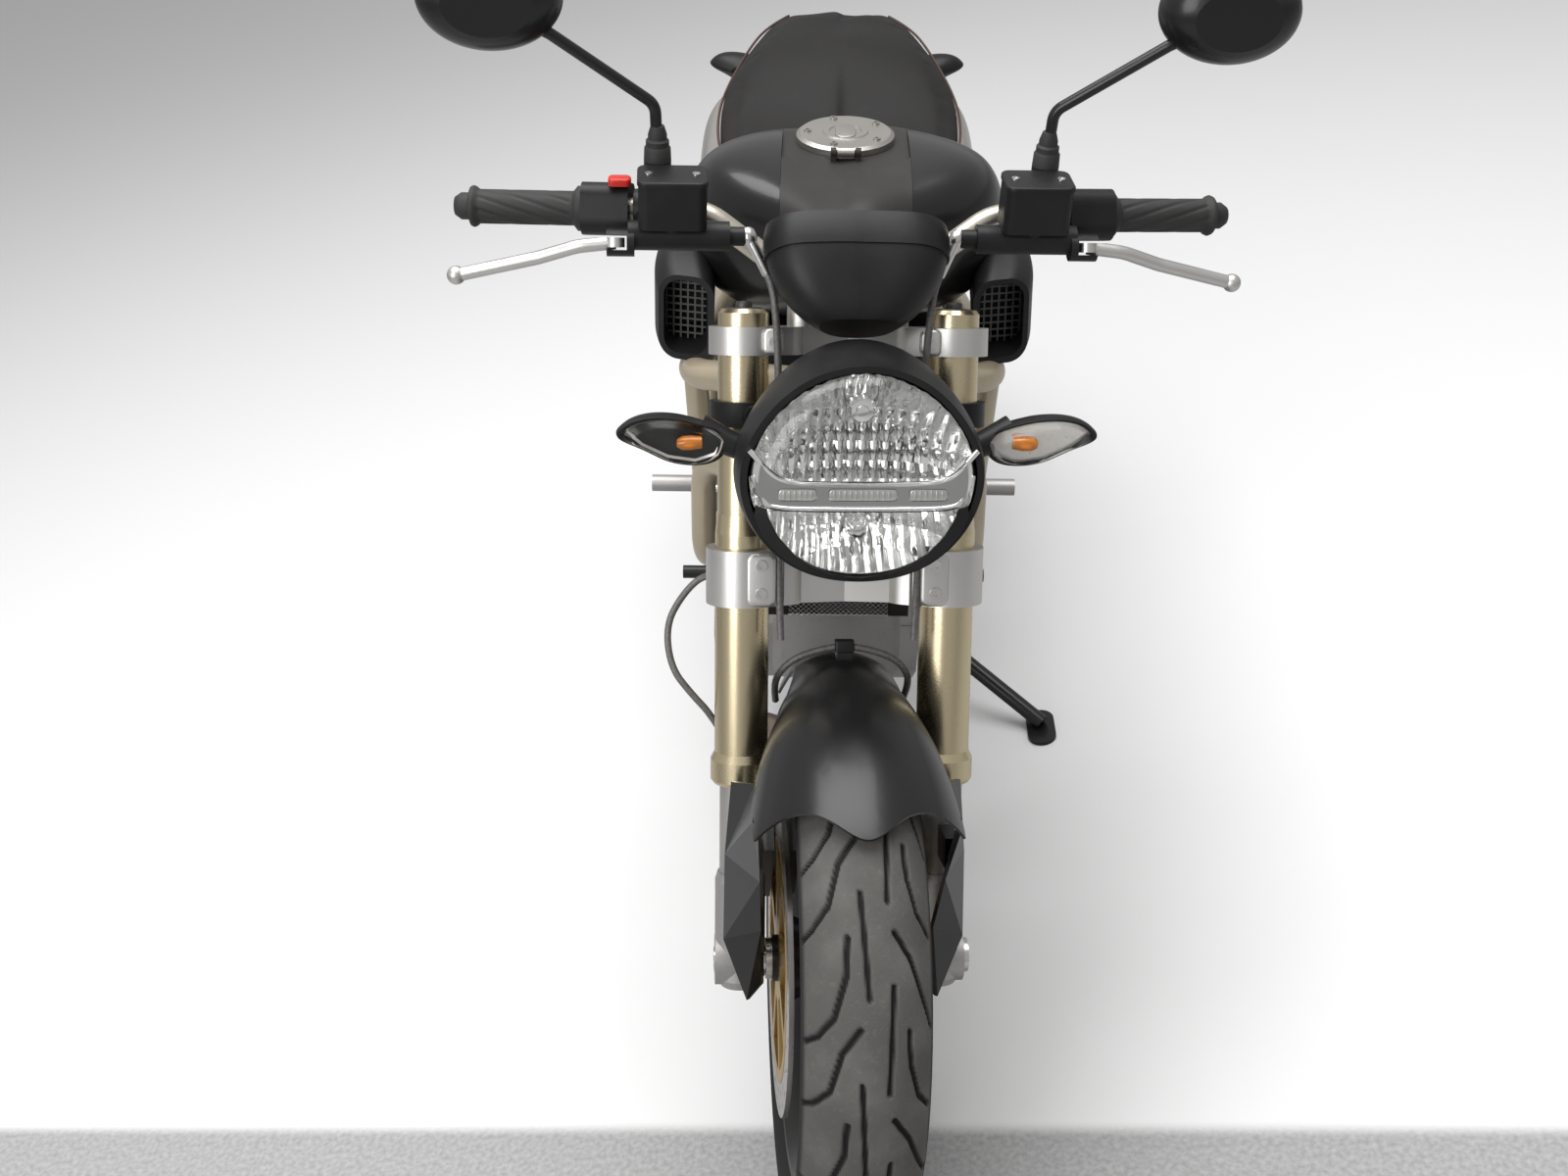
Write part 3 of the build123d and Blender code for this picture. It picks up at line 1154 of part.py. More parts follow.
def side_stand():
    axis = stand_axis().direction
    pivot = Vector(*STAND_PIVOT)
    foot = Vector(*STAND_FOOT)
    out = (foot - pivot).normalized()
    half = STAND_LUG_T / 2 + 0.5
    body = rod(pivot - axis * (half + 6), pivot + axis * (half + 6), STAND_PIN_R)
    for side in (1, -1):
        inner = pivot + axis * (side * half)
        cheek = rod(inner, inner + axis * (side * 6), STAND_LUG_R - 1)
        strap = rod(inner + axis * (side * 4.7), inner + axis * (side * 4.7) + out * 36, 4.5)
        body += cheek + strap
    leg = rod(pivot + out * 32, foot, STAND_LEG_R)
    body += leg + Pos(*(pivot + out * 32)) * Sphere(STAND_LEG_R + 3)
    ground = Plane(origin=(foot.X, foot.Y, foot.X * tan(radians(LEAN)) - 0.3), x_dir=(0, 1, 0),
                   z_dir=(-sin(radians(LEAN)), 0, cos(radians(LEAN))))
    pad = extrude(ground * SlotOverall(74, 40), amount=6)
    return [body + pad]


BODIES = {
    "chassis": {
        "frame": frame(), "subframe": subframe(), "crankcase": crankcase(), "front_cylinder": front_cylinder(),
        "rear_cylinder": rear_cylinder(), "engine_covers": engine_covers(), "oil_cooler": oil_cooler(),
        "exhaust_pipes": exhaust_pipes(), "silencers": silencers(), "airbox": airbox(), "fuel_tank": fuel_tank(),
        "tank_panel": tank_panel(), "intake_ducts": intake_ducts(), "intake_grilles": intake_grilles(),
        "seat": seat(), "tail_cowl": tail_cowl(),
        "tail_lamp": tail_lamp(), "plate_hanger": plate_hanger(), "rear_indicators": rear_indicators(),
        "rear_indicator_lenses": rear_indicator_lenses(),
        "swingarm": swingarm(), "rear_axle": rear_axle(), "shock": shock(), "chain": chain(),
        "rear_caliper": rear_caliper(), "footrests": footrests(), "foot_controls": foot_controls(),
    },
    "steering": {
        "fork_tubes": fork_tubes(), "fork_sliders": fork_sliders(), "front_axle": front_axle(),
        "lower_clamp": lower_clamp(), "upper_clamp": upper_clamp(), "handlebar": handlebar(), "grips": grips(),
        "bar_controls": bar_controls(), "levers": levers(), "mirrors": mirrors(),
        "mirror_glasses": mirror_glasses(), "headlamp_shell": headlamp_shell(),
        "headlamp_reflector": headlamp_reflector(), "headlamp_lens": headlamp_lens(),
        "headlamp_trim": headlamp_trim(), "instrument": instrument(),
        "front_indicators": front_indicators(), "front_indicator_lenses": front_indicator_lenses(),
        "front_fender": front_fender(), "front_calipers": front_calipers(), "brake_hoses": brake_hoses(),
    },
    "front_wheel": front_wheel(),
    "rear_wheel": rear_wheel(),
    "stand": {"side_stand": side_stand()},
    "cap": {"fuel_cap": fuel_cap()},
}


def parked(piece, steered):
    """Turns a steered piece to rest and leans the bike onto its stand."""
    if steered:
        piece = piece.rotate(STEER_AXIS, STEER_REST)
    return Rot(0, LEAN, 0) * piece


STEERED = ("steering", "front_wheel")
PIECES = {}
for body_name, nodes in BODIES.items():
    for node, pieces in nodes.items():
        PIECES[node] = Compound(children=[parked(piece, body_name in STEERED) for piece in pieces])
low = Vector(*[min(getattr(piece.bounding_box().min, c) for piece in PIECES.values()) for c in "XYZ"])
high = Vector(*[max(getattr(piece.bounding_box().max, c) for piece in PIECES.values()) for c in "XYZ"])
SHIFT = Vector(-(low.X + high.X) / 2, -(low.Y + high.Y) / 2, -low.Z)

os.makedirs("parts", exist_ok=True)
for node, piece in PIECES.items():
    export_step(Pos(*SHIFT) * piece, f"parts/{node}.step")
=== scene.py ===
import json
import math

import bmesh
import bpy
import numpy as np
from mathutils import Matrix, Vector


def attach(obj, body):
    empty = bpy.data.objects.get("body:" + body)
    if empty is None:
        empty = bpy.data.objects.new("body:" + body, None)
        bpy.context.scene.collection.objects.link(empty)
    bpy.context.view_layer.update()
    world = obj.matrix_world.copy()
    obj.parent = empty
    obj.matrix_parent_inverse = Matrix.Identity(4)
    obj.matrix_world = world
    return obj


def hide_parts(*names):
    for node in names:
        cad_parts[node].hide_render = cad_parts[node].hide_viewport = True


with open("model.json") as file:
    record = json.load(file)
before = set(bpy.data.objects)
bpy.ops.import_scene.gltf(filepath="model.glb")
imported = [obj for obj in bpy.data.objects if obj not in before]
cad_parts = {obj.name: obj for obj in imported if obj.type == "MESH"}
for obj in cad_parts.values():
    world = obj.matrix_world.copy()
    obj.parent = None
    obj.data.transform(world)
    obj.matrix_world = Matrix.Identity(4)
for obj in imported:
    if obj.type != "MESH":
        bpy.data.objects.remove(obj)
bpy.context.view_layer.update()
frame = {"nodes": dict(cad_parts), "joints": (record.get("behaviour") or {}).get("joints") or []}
nodes = frame["nodes"]

# Frame: a trellis of steel tubes and the rails that carry the seat. Welded, then enamelled champagne in front
# and black behind; both keep the solids' shape and take their paint here.
class Wire:
    """One socket of a material's tree, so that its sums can be written as sums."""

    def __init__(self, tree, socket):
        self.tree = tree
        self.socket = socket

    def feed(self, socket, value):
        if isinstance(value, Wire):
            self.tree.links.new(value.socket, socket)
        else:
            socket.default_value = value

    def node(self, kind, settings, sockets, out=0):
        made = self.tree.nodes.new(kind)
        for name, value in settings.items():
            setattr(made, name, value)
        for name, value in sockets.items():
            self.feed(made.inputs[name], value)
        return Wire(self.tree, made.outputs[out])

    def sum(self, operation, first, second):
        return self.node("ShaderNodeMath", {"operation": operation}, {0: first, 1: second})

    def __add__(self, other):
        return self.sum("ADD", self, other)

    def __sub__(self, other):
        return self.sum("SUBTRACT", self, other)

    def __mul__(self, other):
        return self.sum("MULTIPLY", self, other)

    def __rsub__(self, other):
        return self.sum("SUBTRACT", other, self)

    __radd__ = __add__
    __rmul__ = __mul__

    def above(self, low, high):
        """Runs from nought to one as the value climbs from low to high."""
        return self.node("ShaderNodeMapRange", {"interpolation_type": "SMOOTHSTEP"},
                         {"Value": self, "From Min": low, "From Max": high})

    def mix(self, first, second):
        """One colour turning into another as the value climbs."""
        return self.node("ShaderNodeMix", {"data_type": "RGBA"}, {0: self, 6: first, 7: second}, 2)


def noise(place, scale, detail=4.0):
    return place.node("ShaderNodeTexNoise", {}, {"Vector": place, "Scale": scale, "Detail": detail})


def finish(name, colour, rough, metal=0.0, coat=0.0, worn=None, share=0.35, blotch=14.0, grain=900.0, bump=0.05,
           shine=0.5):
    """A finish that is never even: cloudy in tone and gloss, with specks of wear and a fine grain."""
    made = bpy.data.materials.new(name)
    made.use_nodes = True
    tree = made.node_tree
    shader = tree.nodes["Principled BSDF"]
    place = Wire(tree, tree.nodes.new("ShaderNodeTexCoord").outputs["Object"])
    cloud = noise(place, blotch)
    speck = noise(place, grain * 0.4, 2.0)
    base = (*colour, 1.0)
    aged = (*(worn or [tone * 0.72 for tone in colour]), 1.0)
    tint = (cloud.above(0.4, 0.75) * share + speck.above(0.56, 0.74) * (share * 0.4)).mix(base, aged)
    place.feed(shader.inputs["Base Color"], tint)
    place.feed(shader.inputs["Roughness"], cloud * 0.14 + speck * 0.05 + (rough - 0.09))
    height = noise(place, grain, 2.0)
    relief = place.node("ShaderNodeBump", {}, {"Strength": bump, "Distance": 0.0006, "Height": height})
    place.feed(shader.inputs["Normal"], relief)
    shader.inputs["Metallic"].default_value = metal
    shader.inputs["Specular IOR Level"].default_value = shine
    shader.inputs["Coat Weight"].default_value = coat
    shader.inputs["Coat Roughness"].default_value = 0.12
    return made


def coat(node, material):
    """Gives a solid that keeps its shape its finish."""
    for slot in nodes[node].material_slots:
        slot.material = material


champagne = finish("champagne_enamel", (0.45, 0.385, 0.28), 0.34, 0.4, 0.2)
black_enamel = finish("black_enamel", (0.011, 0.0105, 0.01), 0.36, 0.0, 0.1, (0.03, 0.028, 0.026), shine=0.3)
coat("frame", champagne)
coat("subframe", black_enamel)

# The bike's place. It is drawn upright in millimetres, heading to -Y with the front axle above Y = 0, and stands
# ten degrees over on its stand, the bars five degrees to the left. The fork's own frame runs up the legs.
wheelbase = 1450.0
rear_radius = 312.0
front_radius = 300.0
rake = math.radians(24.0)
steer_offset = 34.0
lean = Matrix.Rotation(math.radians(10.0), 4, "Y")
shrunk = lean @ Matrix.Scale(0.001, 4)
rear_hub = next(Vector(joint["pos_m"]) for joint in frame["joints"] if joint["name"] == "rear_wheel_spin")
upright = Matrix.Translation(rear_hub - shrunk @ Vector((0.0, wheelbase, rear_radius))) @ shrunk
turned = (
    Matrix.Translation((0.0, steer_offset, 0.0))
    @ Matrix.Rotation(math.radians(5.0), 4, "Z")
    @ Matrix.Translation((0.0, -steer_offset, 0.0))
)
forks = upright @ Matrix.Translation((0.0, 0.0, front_radius)) @ Matrix.Rotation(-rake, 4, "X") @ turned
rear_wheel = upright @ Matrix.Translation((0.0, wheelbase, rear_radius))

# Engine: a finned vee of two air-cooled cylinders on a cast case, with dark covers, the gear lever and the
# heat-browned pipes. The castings keep the solids' shape and get their sand-cast grain; bolts hold the covers.
cast_alloy = finish("cast_alloy", (0.44, 0.43, 0.42), 0.5, 0.85, 0.0, (0.27, 0.26, 0.25), 0.5, 9.0, 600.0, 0.35)
dark_alloy = finish("dark_alloy", (0.075, 0.073, 0.072), 0.45, 0.6, 0.0, (0.14, 0.135, 0.13), 0.3, 12.0, 700.0, 0.25)
heated_steel = finish("heated_steel", (0.42, 0.36, 0.28), 0.32, 1.0, 0.0, (0.23, 0.15, 0.11), 0.6, 6.0)
silencer_steel = finish("silencer_steel", (0.72, 0.70, 0.65), 0.3, 1.0, 0.0, (0.6, 0.56, 0.5), 0.3, 5.0)
black_plastic = finish("black_plastic", (0.0085, 0.0085, 0.009), 0.42, worn=(0.015, 0.0145, 0.0145), share=0.5,
                       blotch=30.0, grain=1400.0, bump=0.2, shine=0.28)
bright_steel = finish("bright_steel", (0.62, 0.61, 0.6), 0.26, 1.0, 0.0, (0.42, 0.4, 0.38), 0.35, 40.0)
for node in ("crankcase", "front_cylinder", "rear_cylinder", "swingarm", "footrests", "fork_sliders"):
    coat(node, cast_alloy)
for node in ("engine_covers", "rear_caliper", "front_calipers"):
    coat(node, dark_alloy)
for node in ("oil_cooler", "shock", "foot_controls"):
    coat(node, black_enamel)
coat("exhaust_pipes", heated_steel)
coat("silencers", silencer_steel)
for node in ("airbox", "intake_ducts", "tail_cowl", "plate_hanger", "rear_indicators"):
    coat(node, black_plastic)
for node in ("rear_axle", "front_axle", "chain"):
    coat(node, bright_steel)
silver_alloy = finish("silver_alloy", (0.60, 0.59, 0.57), 0.38, 0.9, 0.0, (0.5, 0.49, 0.47), 0.3, 18.0, 1100.0, 0.2)
coat("intake_grilles", dark_alloy)


def placed(name, shape, place, body, material, crease=35.0):
    """Sets a shape made in millimetres at its place, on the body that carries it."""
    bmesh.ops.recalc_face_normals(shape, faces=shape.faces)
    shape.transform(place)
    mesh = bpy.data.meshes.new(name)
    shape.to_mesh(mesh)
    shape.free()
    mesh.materials.append(material)
    mesh.shade_smooth()
    mesh.set_sharp_from_angle(angle=math.radians(crease))
    made = bpy.data.objects.new(name, mesh)
    bpy.context.collection.objects.link(made)
    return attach(made, body)


def facing(at, way):
    """A place whose Z looks along a direction."""
    return Matrix.Translation(at) @ Vector(way).to_track_quat("Z", "Y").to_matrix().to_4x4()


def add_screw(shape, at, way, radius, height):
    """A cap screw with a six-sided socket, its head standing on a point."""
    stand = facing(at, way)
    made = bmesh.ops.create_cone(
        shape, cap_ends=True, segments=12, radius1=radius, radius2=radius * 0.94, depth=height,
        matrix=stand @ Matrix.Translation((0.0, 0.0, height / 2)),
    )
    top_at = stand @ Vector((0.0, 0.0, height))
    caps = {face for vert in made["verts"] for face in vert.link_faces if len(face.verts) == 12}
    top = min(caps, key=lambda face: (face.calc_center_median() - top_at).length)
    bmesh.ops.inset_individual(shape, faces=[top], thickness=radius * 0.4)
    for vert in list(top.verts)[::2]:
        vert.co = top_at + (vert.co - top_at) * math.cos(math.pi / 6)
    sunk = bmesh.ops.extrude_discrete_faces(shape, faces=[top])["faces"][0]
    bmesh.ops.translate(shape, verts=sunk.verts, vec=stand.to_3x3() @ Vector((0.0, 0.0, -height * 0.6)))


case_screws = bmesh.new()
for side in (-1.0, 1.0):
    for turn in range(9):
        around = math.radians(40.0 * turn)
        add_screw(case_screws, (side * 152.0, 700.0 + 96.0 * math.cos(around), 390.0 + 96.0 * math.sin(around)),
                  (side, 0.0, 0.0), 6.0, 6.0)
placed("case_screws", case_screws, upright, "chassis", bright_steel)

# Oil cooler guard: a woven wire mesh in front of the cooler, clipped to its edges. The grid is turned by half a
# right angle and every edge becomes a wire.
mesh_pitch = 4.2
guard = bmesh.new()
bmesh.ops.create_grid(guard, x_segments=44, y_segments=44, size=22 * mesh_pitch)
bmesh.ops.rotate(guard, verts=guard.verts, cent=(0.0, 0.0, 0.0), matrix=Matrix.Rotation(math.radians(45.0), 3, "Z"))
for flat_x, flat_y, way_x, way_y in ((0, 41, 0, 1), (0, -41, 0, -1), (55, 0, 1, 0), (-55, 0, -1, 0)):
    bmesh.ops.bisect_plane(guard, geom=guard.verts[:] + guard.edges[:] + guard.faces[:],
                           plane_co=(flat_x, flat_y, 0.0), plane_no=(way_x, way_y, 0.0), clear_outer=True)
bmesh.ops.wireframe(guard, faces=guard.faces, thickness=0.55, offset=0.0, use_replace=True, use_boundary=True)
guard_place = upright @ Matrix.Translation((0.0, 304.5, 562.0)) @ Matrix.Rotation(math.radians(90.0), 4, "X")
placed("cooler_guard", guard, guard_place, "chassis", bright_steel)

# Fuel tank: pressed steel in black paint under a lacquer, with a matt panel along its spine and a round hinged
# cap. The paint goes on the solids; the cap's flap, ring and screws are added.
tank_paint = finish("tank_paint", (0.009, 0.0086, 0.0084), 0.3, coat=0.25, worn=(0.015, 0.014, 0.0135), share=0.3,
                    blotch=8.0, grain=1500.0, bump=0.03, shine=0.3)
panel_matt = finish("panel_matt", (0.026, 0.0245, 0.023), 0.5, worn=(0.036, 0.033, 0.03), share=0.5,
                    blotch=22.0, grain=1600.0, bump=0.3, shine=0.25)
cap_alloy = finish("cap_alloy", (0.40, 0.385, 0.36), 0.4, 0.9, 0.0, (0.33, 0.315, 0.29), 0.3, 20.0, 1200.0, 0.12)
coat("fuel_tank", tank_paint)
coat("tank_panel", panel_matt)
coat("fuel_cap", cap_alloy)

cap_at = Vector((0.0, 547.0, 982.0))
cap_radius = 53.0
cap_top = 7.3


def rounded_slab(shape, width, length, height, corner, place, segments=4):
    """A slab with its upright corners rounded and its top edge softened, standing on its place."""
    made = bmesh.ops.create_cube(shape, size=1.0)
    bmesh.ops.scale(shape, verts=made["verts"], vec=(width, length, height))
    bmesh.ops.translate(shape, verts=made["verts"], vec=(0.0, 0.0, height / 2))
    edges = {edge for vert in made["verts"] for edge in vert.link_edges}
    posts = [edge for edge in edges if abs(edge.verts[0].co.z - edge.verts[1].co.z) > height / 2]
    cut = bmesh.ops.bevel(shape, geom=posts, offset=corner, affect="EDGES", segments=segments, profile=0.5,
                          material=-1)
    verts = {vert for vert in made["verts"] if vert.is_valid} | set(cut["verts"])
    rim = [edge for edge in {edge for vert in verts for edge in vert.link_edges}
           if all(abs(vert.co.z - height) < 1e-4 for vert in edge.verts)]
    soft = min(corner * 0.5, height * 0.4)
    cut = bmesh.ops.bevel(shape, geom=rim, offset=soft, affect="EDGES", segments=3, profile=0.5, material=-1)
    verts = {vert for vert in verts if vert.is_valid} | set(cut["verts"])
    bmesh.ops.transform(shape, verts=list(verts), matrix=place)


def lathe(shape, profile, place, steps=48):
    """Spins a profile of (radius, height) pairs about the place's Z."""
    verts = [shape.verts.new((radius, 0.0, height)) for radius, height in profile]
    edges = [shape.edges.new(pair) for pair in zip(verts, verts[1:])]
    made = bmesh.ops.spin(shape, geom=verts + edges, axis=(0.0, 0.0, 1.0), cent=(0.0, 0.0, 0.0), steps=steps,
                          angle=2 * math.pi, use_merge=True, dvec=(0.0, 0.0, 0.0))
    fresh = {vert for vert in verts if vert.is_valid}
    fresh |= {item for item in made["geom_last"] if isinstance(item, bmesh.types.BMVert)}
    reach = list(fresh)
    while reach:
        near = [edge.other_vert(vert) for vert in reach for edge in vert.link_edges]
        reach = [vert for vert in set(near) if vert not in fresh]
        fresh.update(reach)
    bmesh.ops.remove_doubles(shape, verts=list(fresh), dist=1e-4)
    bmesh.ops.transform(shape, verts=[vert for vert in fresh if vert.is_valid], matrix=place)


cap_trim = bmesh.new()
lathe(cap_trim, [(0.0, 0.4), (17.0, 0.4), (18.0, 1.6), (24.0, 1.6), (25.0, 0.4)],
      Matrix.Translation(cap_at + Vector((0.0, 0.0, cap_top - 0.4))))
rounded_slab(cap_trim, 22.0, 40.0, 2.4, 9.0, Matrix.Translation(cap_at + Vector((0.0, -2.0, cap_top))))
for turn in range(5):
    around = math.radians(72.0 * turn + 36.0)
    add_screw(cap_trim, cap_at + Vector((41.0 * math.cos(around), 41.0 * math.sin(around), cap_top - 0.3)),
              (0.0, 0.0, 1.0), 4.2, 2.6)
placed("cap_trim", cap_trim, upright, "cap", cap_alloy)

# Seat: foam under a matt black cover, sewn along a piped edge and pressed onto its pan. The cover starts a little
# small and is blown up against its own stitching; the piping is a tube along the seam.
seat_cover = finish("seat_cover", (0.012, 0.0112, 0.0108), 0.6, worn=(0.018, 0.0165, 0.0155), share=0.4,
                    blotch=30.0, grain=700.0, bump=0.6, shine=0.22)
piping_brown = finish("piping_brown", (0.055, 0.024, 0.018), 0.6, 0.0, 0.0, None, 0.4, 60.0, 800.0, 0.4)


def evaluated(shaped):
    """The mesh that an object's modifiers make of it."""
    return bpy.data.meshes.new_from_object(shaped.evaluated_get(bpy.context.evaluated_depsgraph_get()))


cushion_shape = bmesh.new()
cushion_shape.from_mesh(nodes["seat"].data)
bmesh.ops.remove_doubles(cushion_shape, verts=cushion_shape.verts, dist=1e-6)
cushion = placed("seat_cushion", cushion_shape, Matrix.Identity(4), "chassis", seat_cover)
remesh = cushion.modifiers.new("even_cloth", "REMESH")
remesh.mode = "VOXEL"
remesh.voxel_size = 0.005
even = evaluated(cushion)
cushion.modifiers.clear()
cushion.data = even
cushion.data.materials.clear()
cushion.data.materials.append(seat_cover)
count = len(even.vertices)
start = np.empty(count * 3)
even.vertices.foreach_get("co", start)
normals = np.empty(count * 3)
even.vertices.foreach_get("normal", normals)
even.vertices.foreach_set("co", start - 0.003 * normals)
cloth = cushion.modifiers.new("foam", "CLOTH")
cloth.settings.use_pressure = True
cloth.settings.uniform_pressure_force = 4.0
cloth.settings.effector_weights.gravity = 0.0
cloth.point_cache.frame_start = 1
cloth.point_cache.frame_end = 20
for step in range(1, 21):
    bpy.context.scene.frame_set(step)
blown = evaluated(cushion)
after = np.empty(count * 3)
blown.vertices.foreach_get("co", after)
cushion.modifiers.clear()
moved = (after - start).reshape(-1, 3)
length = np.linalg.norm(moved, axis=1, keepdims=True)
moved *= np.minimum(1.0, 0.005 / np.maximum(length, 1e-9))
even.vertices.foreach_set("co", start + moved.reshape(-1))
even.update()
bpy.context.scene.frame_set(1)
even.shade_smooth()
rounding = cushion.modifiers.new("soft", "SUBSURF")
rounding.levels = rounding.render_levels = 1
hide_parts("seat")


def tube_line(name, routes, place, radius, body, material, sides=4):
    """A round line through its route's points, which are its control points."""
    line = bpy.data.curves.new(name, "CURVE")
    line.dimensions = "3D"
    line.bevel_depth = 1.0
    line.bevel_resolution = sides
    line.resolution_u = 10
    line.use_fill_caps = True
    for route in routes:
        spline = line.splines.new("NURBS")
        spline.points.add(len(route) - 1)
        for point, at in zip(spline.points, route):
            point.co = (*(place @ Vector(at)), 1.0)
            point.radius = radius * 0.001
        spline.order_u = 3
        spline.use_endpoint_u = True
    line.materials.append(material)
    made = bpy.data.objects.new(name, line)
    bpy.context.collection.objects.link(made)
    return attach(made, body)


seam = [(77.0, 800.0, 822.0), (116.0, 870.0, 790.0), (157.0, 960.0, 801.0), (168.0, 1040.0, 814.0),
        (164.0, 1120.0, 832.0), (131.0, 1230.0, 864.0), (104.0, 1290.0, 880.0), (74.0, 1326.0, 885.0)]
mirrored_seam = [(-x, y, z) for x, y, z in seam]
tube_line("seat_piping", [seam, mirrored_seam], upright, 1.8, "chassis", piping_brown)

# Tail: a black cowl and hanger with a red lamp and two leaf-shaped indicators, all moulded and kept as they are.
red_lens = finish("red_lens", (0.32, 0.012, 0.01), 0.12, 0.0, 0.5, None, 0.2, 60.0, 900.0, 0.1)
coat("tail_lamp", red_lens)


def clear_plastic(name, tone, rough):
    """Clear moulded plastic, faintly cloudy, that light passes through."""
    made = finish(name, tone, rough, 0.0, 0.0, [part * 0.94 for part in tone], 0.2, 60.0, 900.0, 0.04)
    shader = made.node_tree.nodes["Principled BSDF"]
    shader.inputs["Transmission Weight"].default_value = 1.0
    shader.inputs["IOR"].default_value = 1.3
    return made


clear_lens = clear_plastic("clear_lens", (0.96, 0.95, 0.93), 0.14)
coat("rear_indicator_lenses", clear_lens)

# Fork: gold-anodised tubes in bright clamps, running down into cast sliders. They keep the solids' shape; the
# pinch screws, their pads and the top caps are added.
gold_tube = finish("gold_tube", (0.62, 0.53, 0.35), 0.27, 1.0, 0.0, (0.56, 0.48, 0.33), 0.3, 10.0, 1500.0, 0.04)
gold_carrier = finish("gold_carrier", (0.55, 0.38, 0.15), 0.36, 1.0, 0.0, None, 0.3, 20.0, 1100.0, 0.15)
bar_alloy = finish("bar_alloy", (0.60, 0.55, 0.47), 0.33, 0.9, 0.0, None, 0.25, 18.0, 1300.0, 0.1)
coat("fork_tubes", gold_tube)
coat("front_disc_carriers", gold_carrier)
coat("lower_clamp", silver_alloy)
coat("upper_clamp", silver_alloy)
coat("handlebar", bar_alloy)
coat("levers", silver_alloy)

clamp_screws = bmesh.new()
clamp_pads = bmesh.new()
for side in (-1.0, 1.0):
    rounded_slab(clamp_pads, 30.0, 54.0, 10.0, 8.0, facing((side * 86.0, -27.0, 406.0), (0.0, -1.0, 0.0)))
    rounded_slab(clamp_pads, 20.0, 25.0, 8.0, 6.0, facing((side * 76.0, -25.0, 637.5), (0.0, -1.0, 0.0)))
    for up in (393.0, 421.0):
        add_screw(clamp_screws, (side * 86.0, -36.5, up), (0.0, -1.0, 0.0), 6.0, 2.5)
    add_screw(clamp_screws, (side * 76.0, -32.5, 637.5), (0.0, -1.0, 0.0), 5.0, 2.5)
    for back in (-4.0, 28.0):
        add_screw(clamp_screws, (side * 45.0, back, 728.0), (0.0, 0.0, 1.0), 5.0, 4.0)
placed("clamp_screws", clamp_screws, forks, "steering", bright_steel)
placed("clamp_pads", clamp_pads, forks, "steering", silver_alloy)
fork_caps = bmesh.new()
for side in (-1.0, 1.0):
    lathe(fork_caps, [(0.0, 7.0), (7.0, 7.0), (8.0, 5.0), (8.0, 1.0), (17.0, 1.0), (18.5, -0.5)],
          Matrix.Translation((side * 103.0, 0.0, 668.0)))
placed("fork_caps", fork_caps, forks, "steering", dark_alloy)

# Handlebar controls: black master cylinders with square cups, moulded switch gear, bright levers and mirrors on
# rubber-booted stems. The solids stay; lids, screws, the red stop switch and the boots are added.
gloss_black = finish("gloss_black", (0.0085, 0.0085, 0.009), 0.3, coat=0.12, worn=(0.013, 0.013, 0.013), share=0.3,
                     blotch=10.0, grain=1500.0, bump=0.03, shine=0.35)
mirror_glass = finish("mirror_glass", (0.86, 0.88, 0.88), 0.06, 1.0, 0.0, None, 0.04, 10.0, 900.0, 0.0)
rubber = finish("rubber", (0.02, 0.0195, 0.019), 0.66, 0.0, 0.0, (0.034, 0.032, 0.03), 0.5, 40.0, 900.0, 0.5)
stop_red = finish("stop_red", (0.55, 0.02, 0.012), 0.35, 0.0, 0.0, None, 0.3, 50.0, 900.0, 0.1)
for node in ("bar_controls", "headlamp_shell", "instrument", "front_indicators"):
    coat(node, black_plastic)
for node in ("mirrors", "front_fender", "side_stand"):
    coat(node, gloss_black)
coat("mirror_glasses", mirror_glass)


def level(across, back, up):
    """A place on the fork turned level with the ground."""
    return Matrix.Translation((across, back, up)) @ Matrix.Rotation(rake, 4, "X")


lids = bmesh.new()
lid_screws = bmesh.new()
boots = bmesh.new()
for side in (-1.0, 1.0):
    cup_top = level(side * 172.0, -36.0, 768.0) @ Matrix.Translation((0.0, 0.0, 21.0))
    rounded_slab(lids, 66.0, 48.0, 5.0, 9.0, cup_top)
    for across in (-22.0, 22.0):
        at = cup_top @ Vector((across, 0.0, 4.6))
        add_screw(lid_screws, at, cup_top.to_3x3() @ Vector((0.0, 0.0, 1.0)), 4.0, 1.6)
    stem_foot = level(side * 186.0, 6.0, 770.0) @ Matrix.Translation((0.0, 0.0, 38.0))
    lathe(boots, [(0.0, 36.0), (6.5, 35.0), (9.0, 27.0), (9.0, 23.0), (11.0, 21.0), (11.0, 16.0), (12.5, 14.0),
                  (13.0, 2.0), (11.0, 0.0)], stem_foot)
placed("reservoir_lids", lids, forks, "steering", black_plastic)
placed("lid_screws", lid_screws, forks, "steering", bright_steel)
placed("mirror_boots", boots, forks, "steering", rubber)
stop_switch = bmesh.new()
rounded_slab(stop_switch, 22.0, 15.0, 7.0, 5.0, level(-222.0, -2.0, 784.0))
placed("stop_switch", stop_switch, forks, "steering", stop_red)

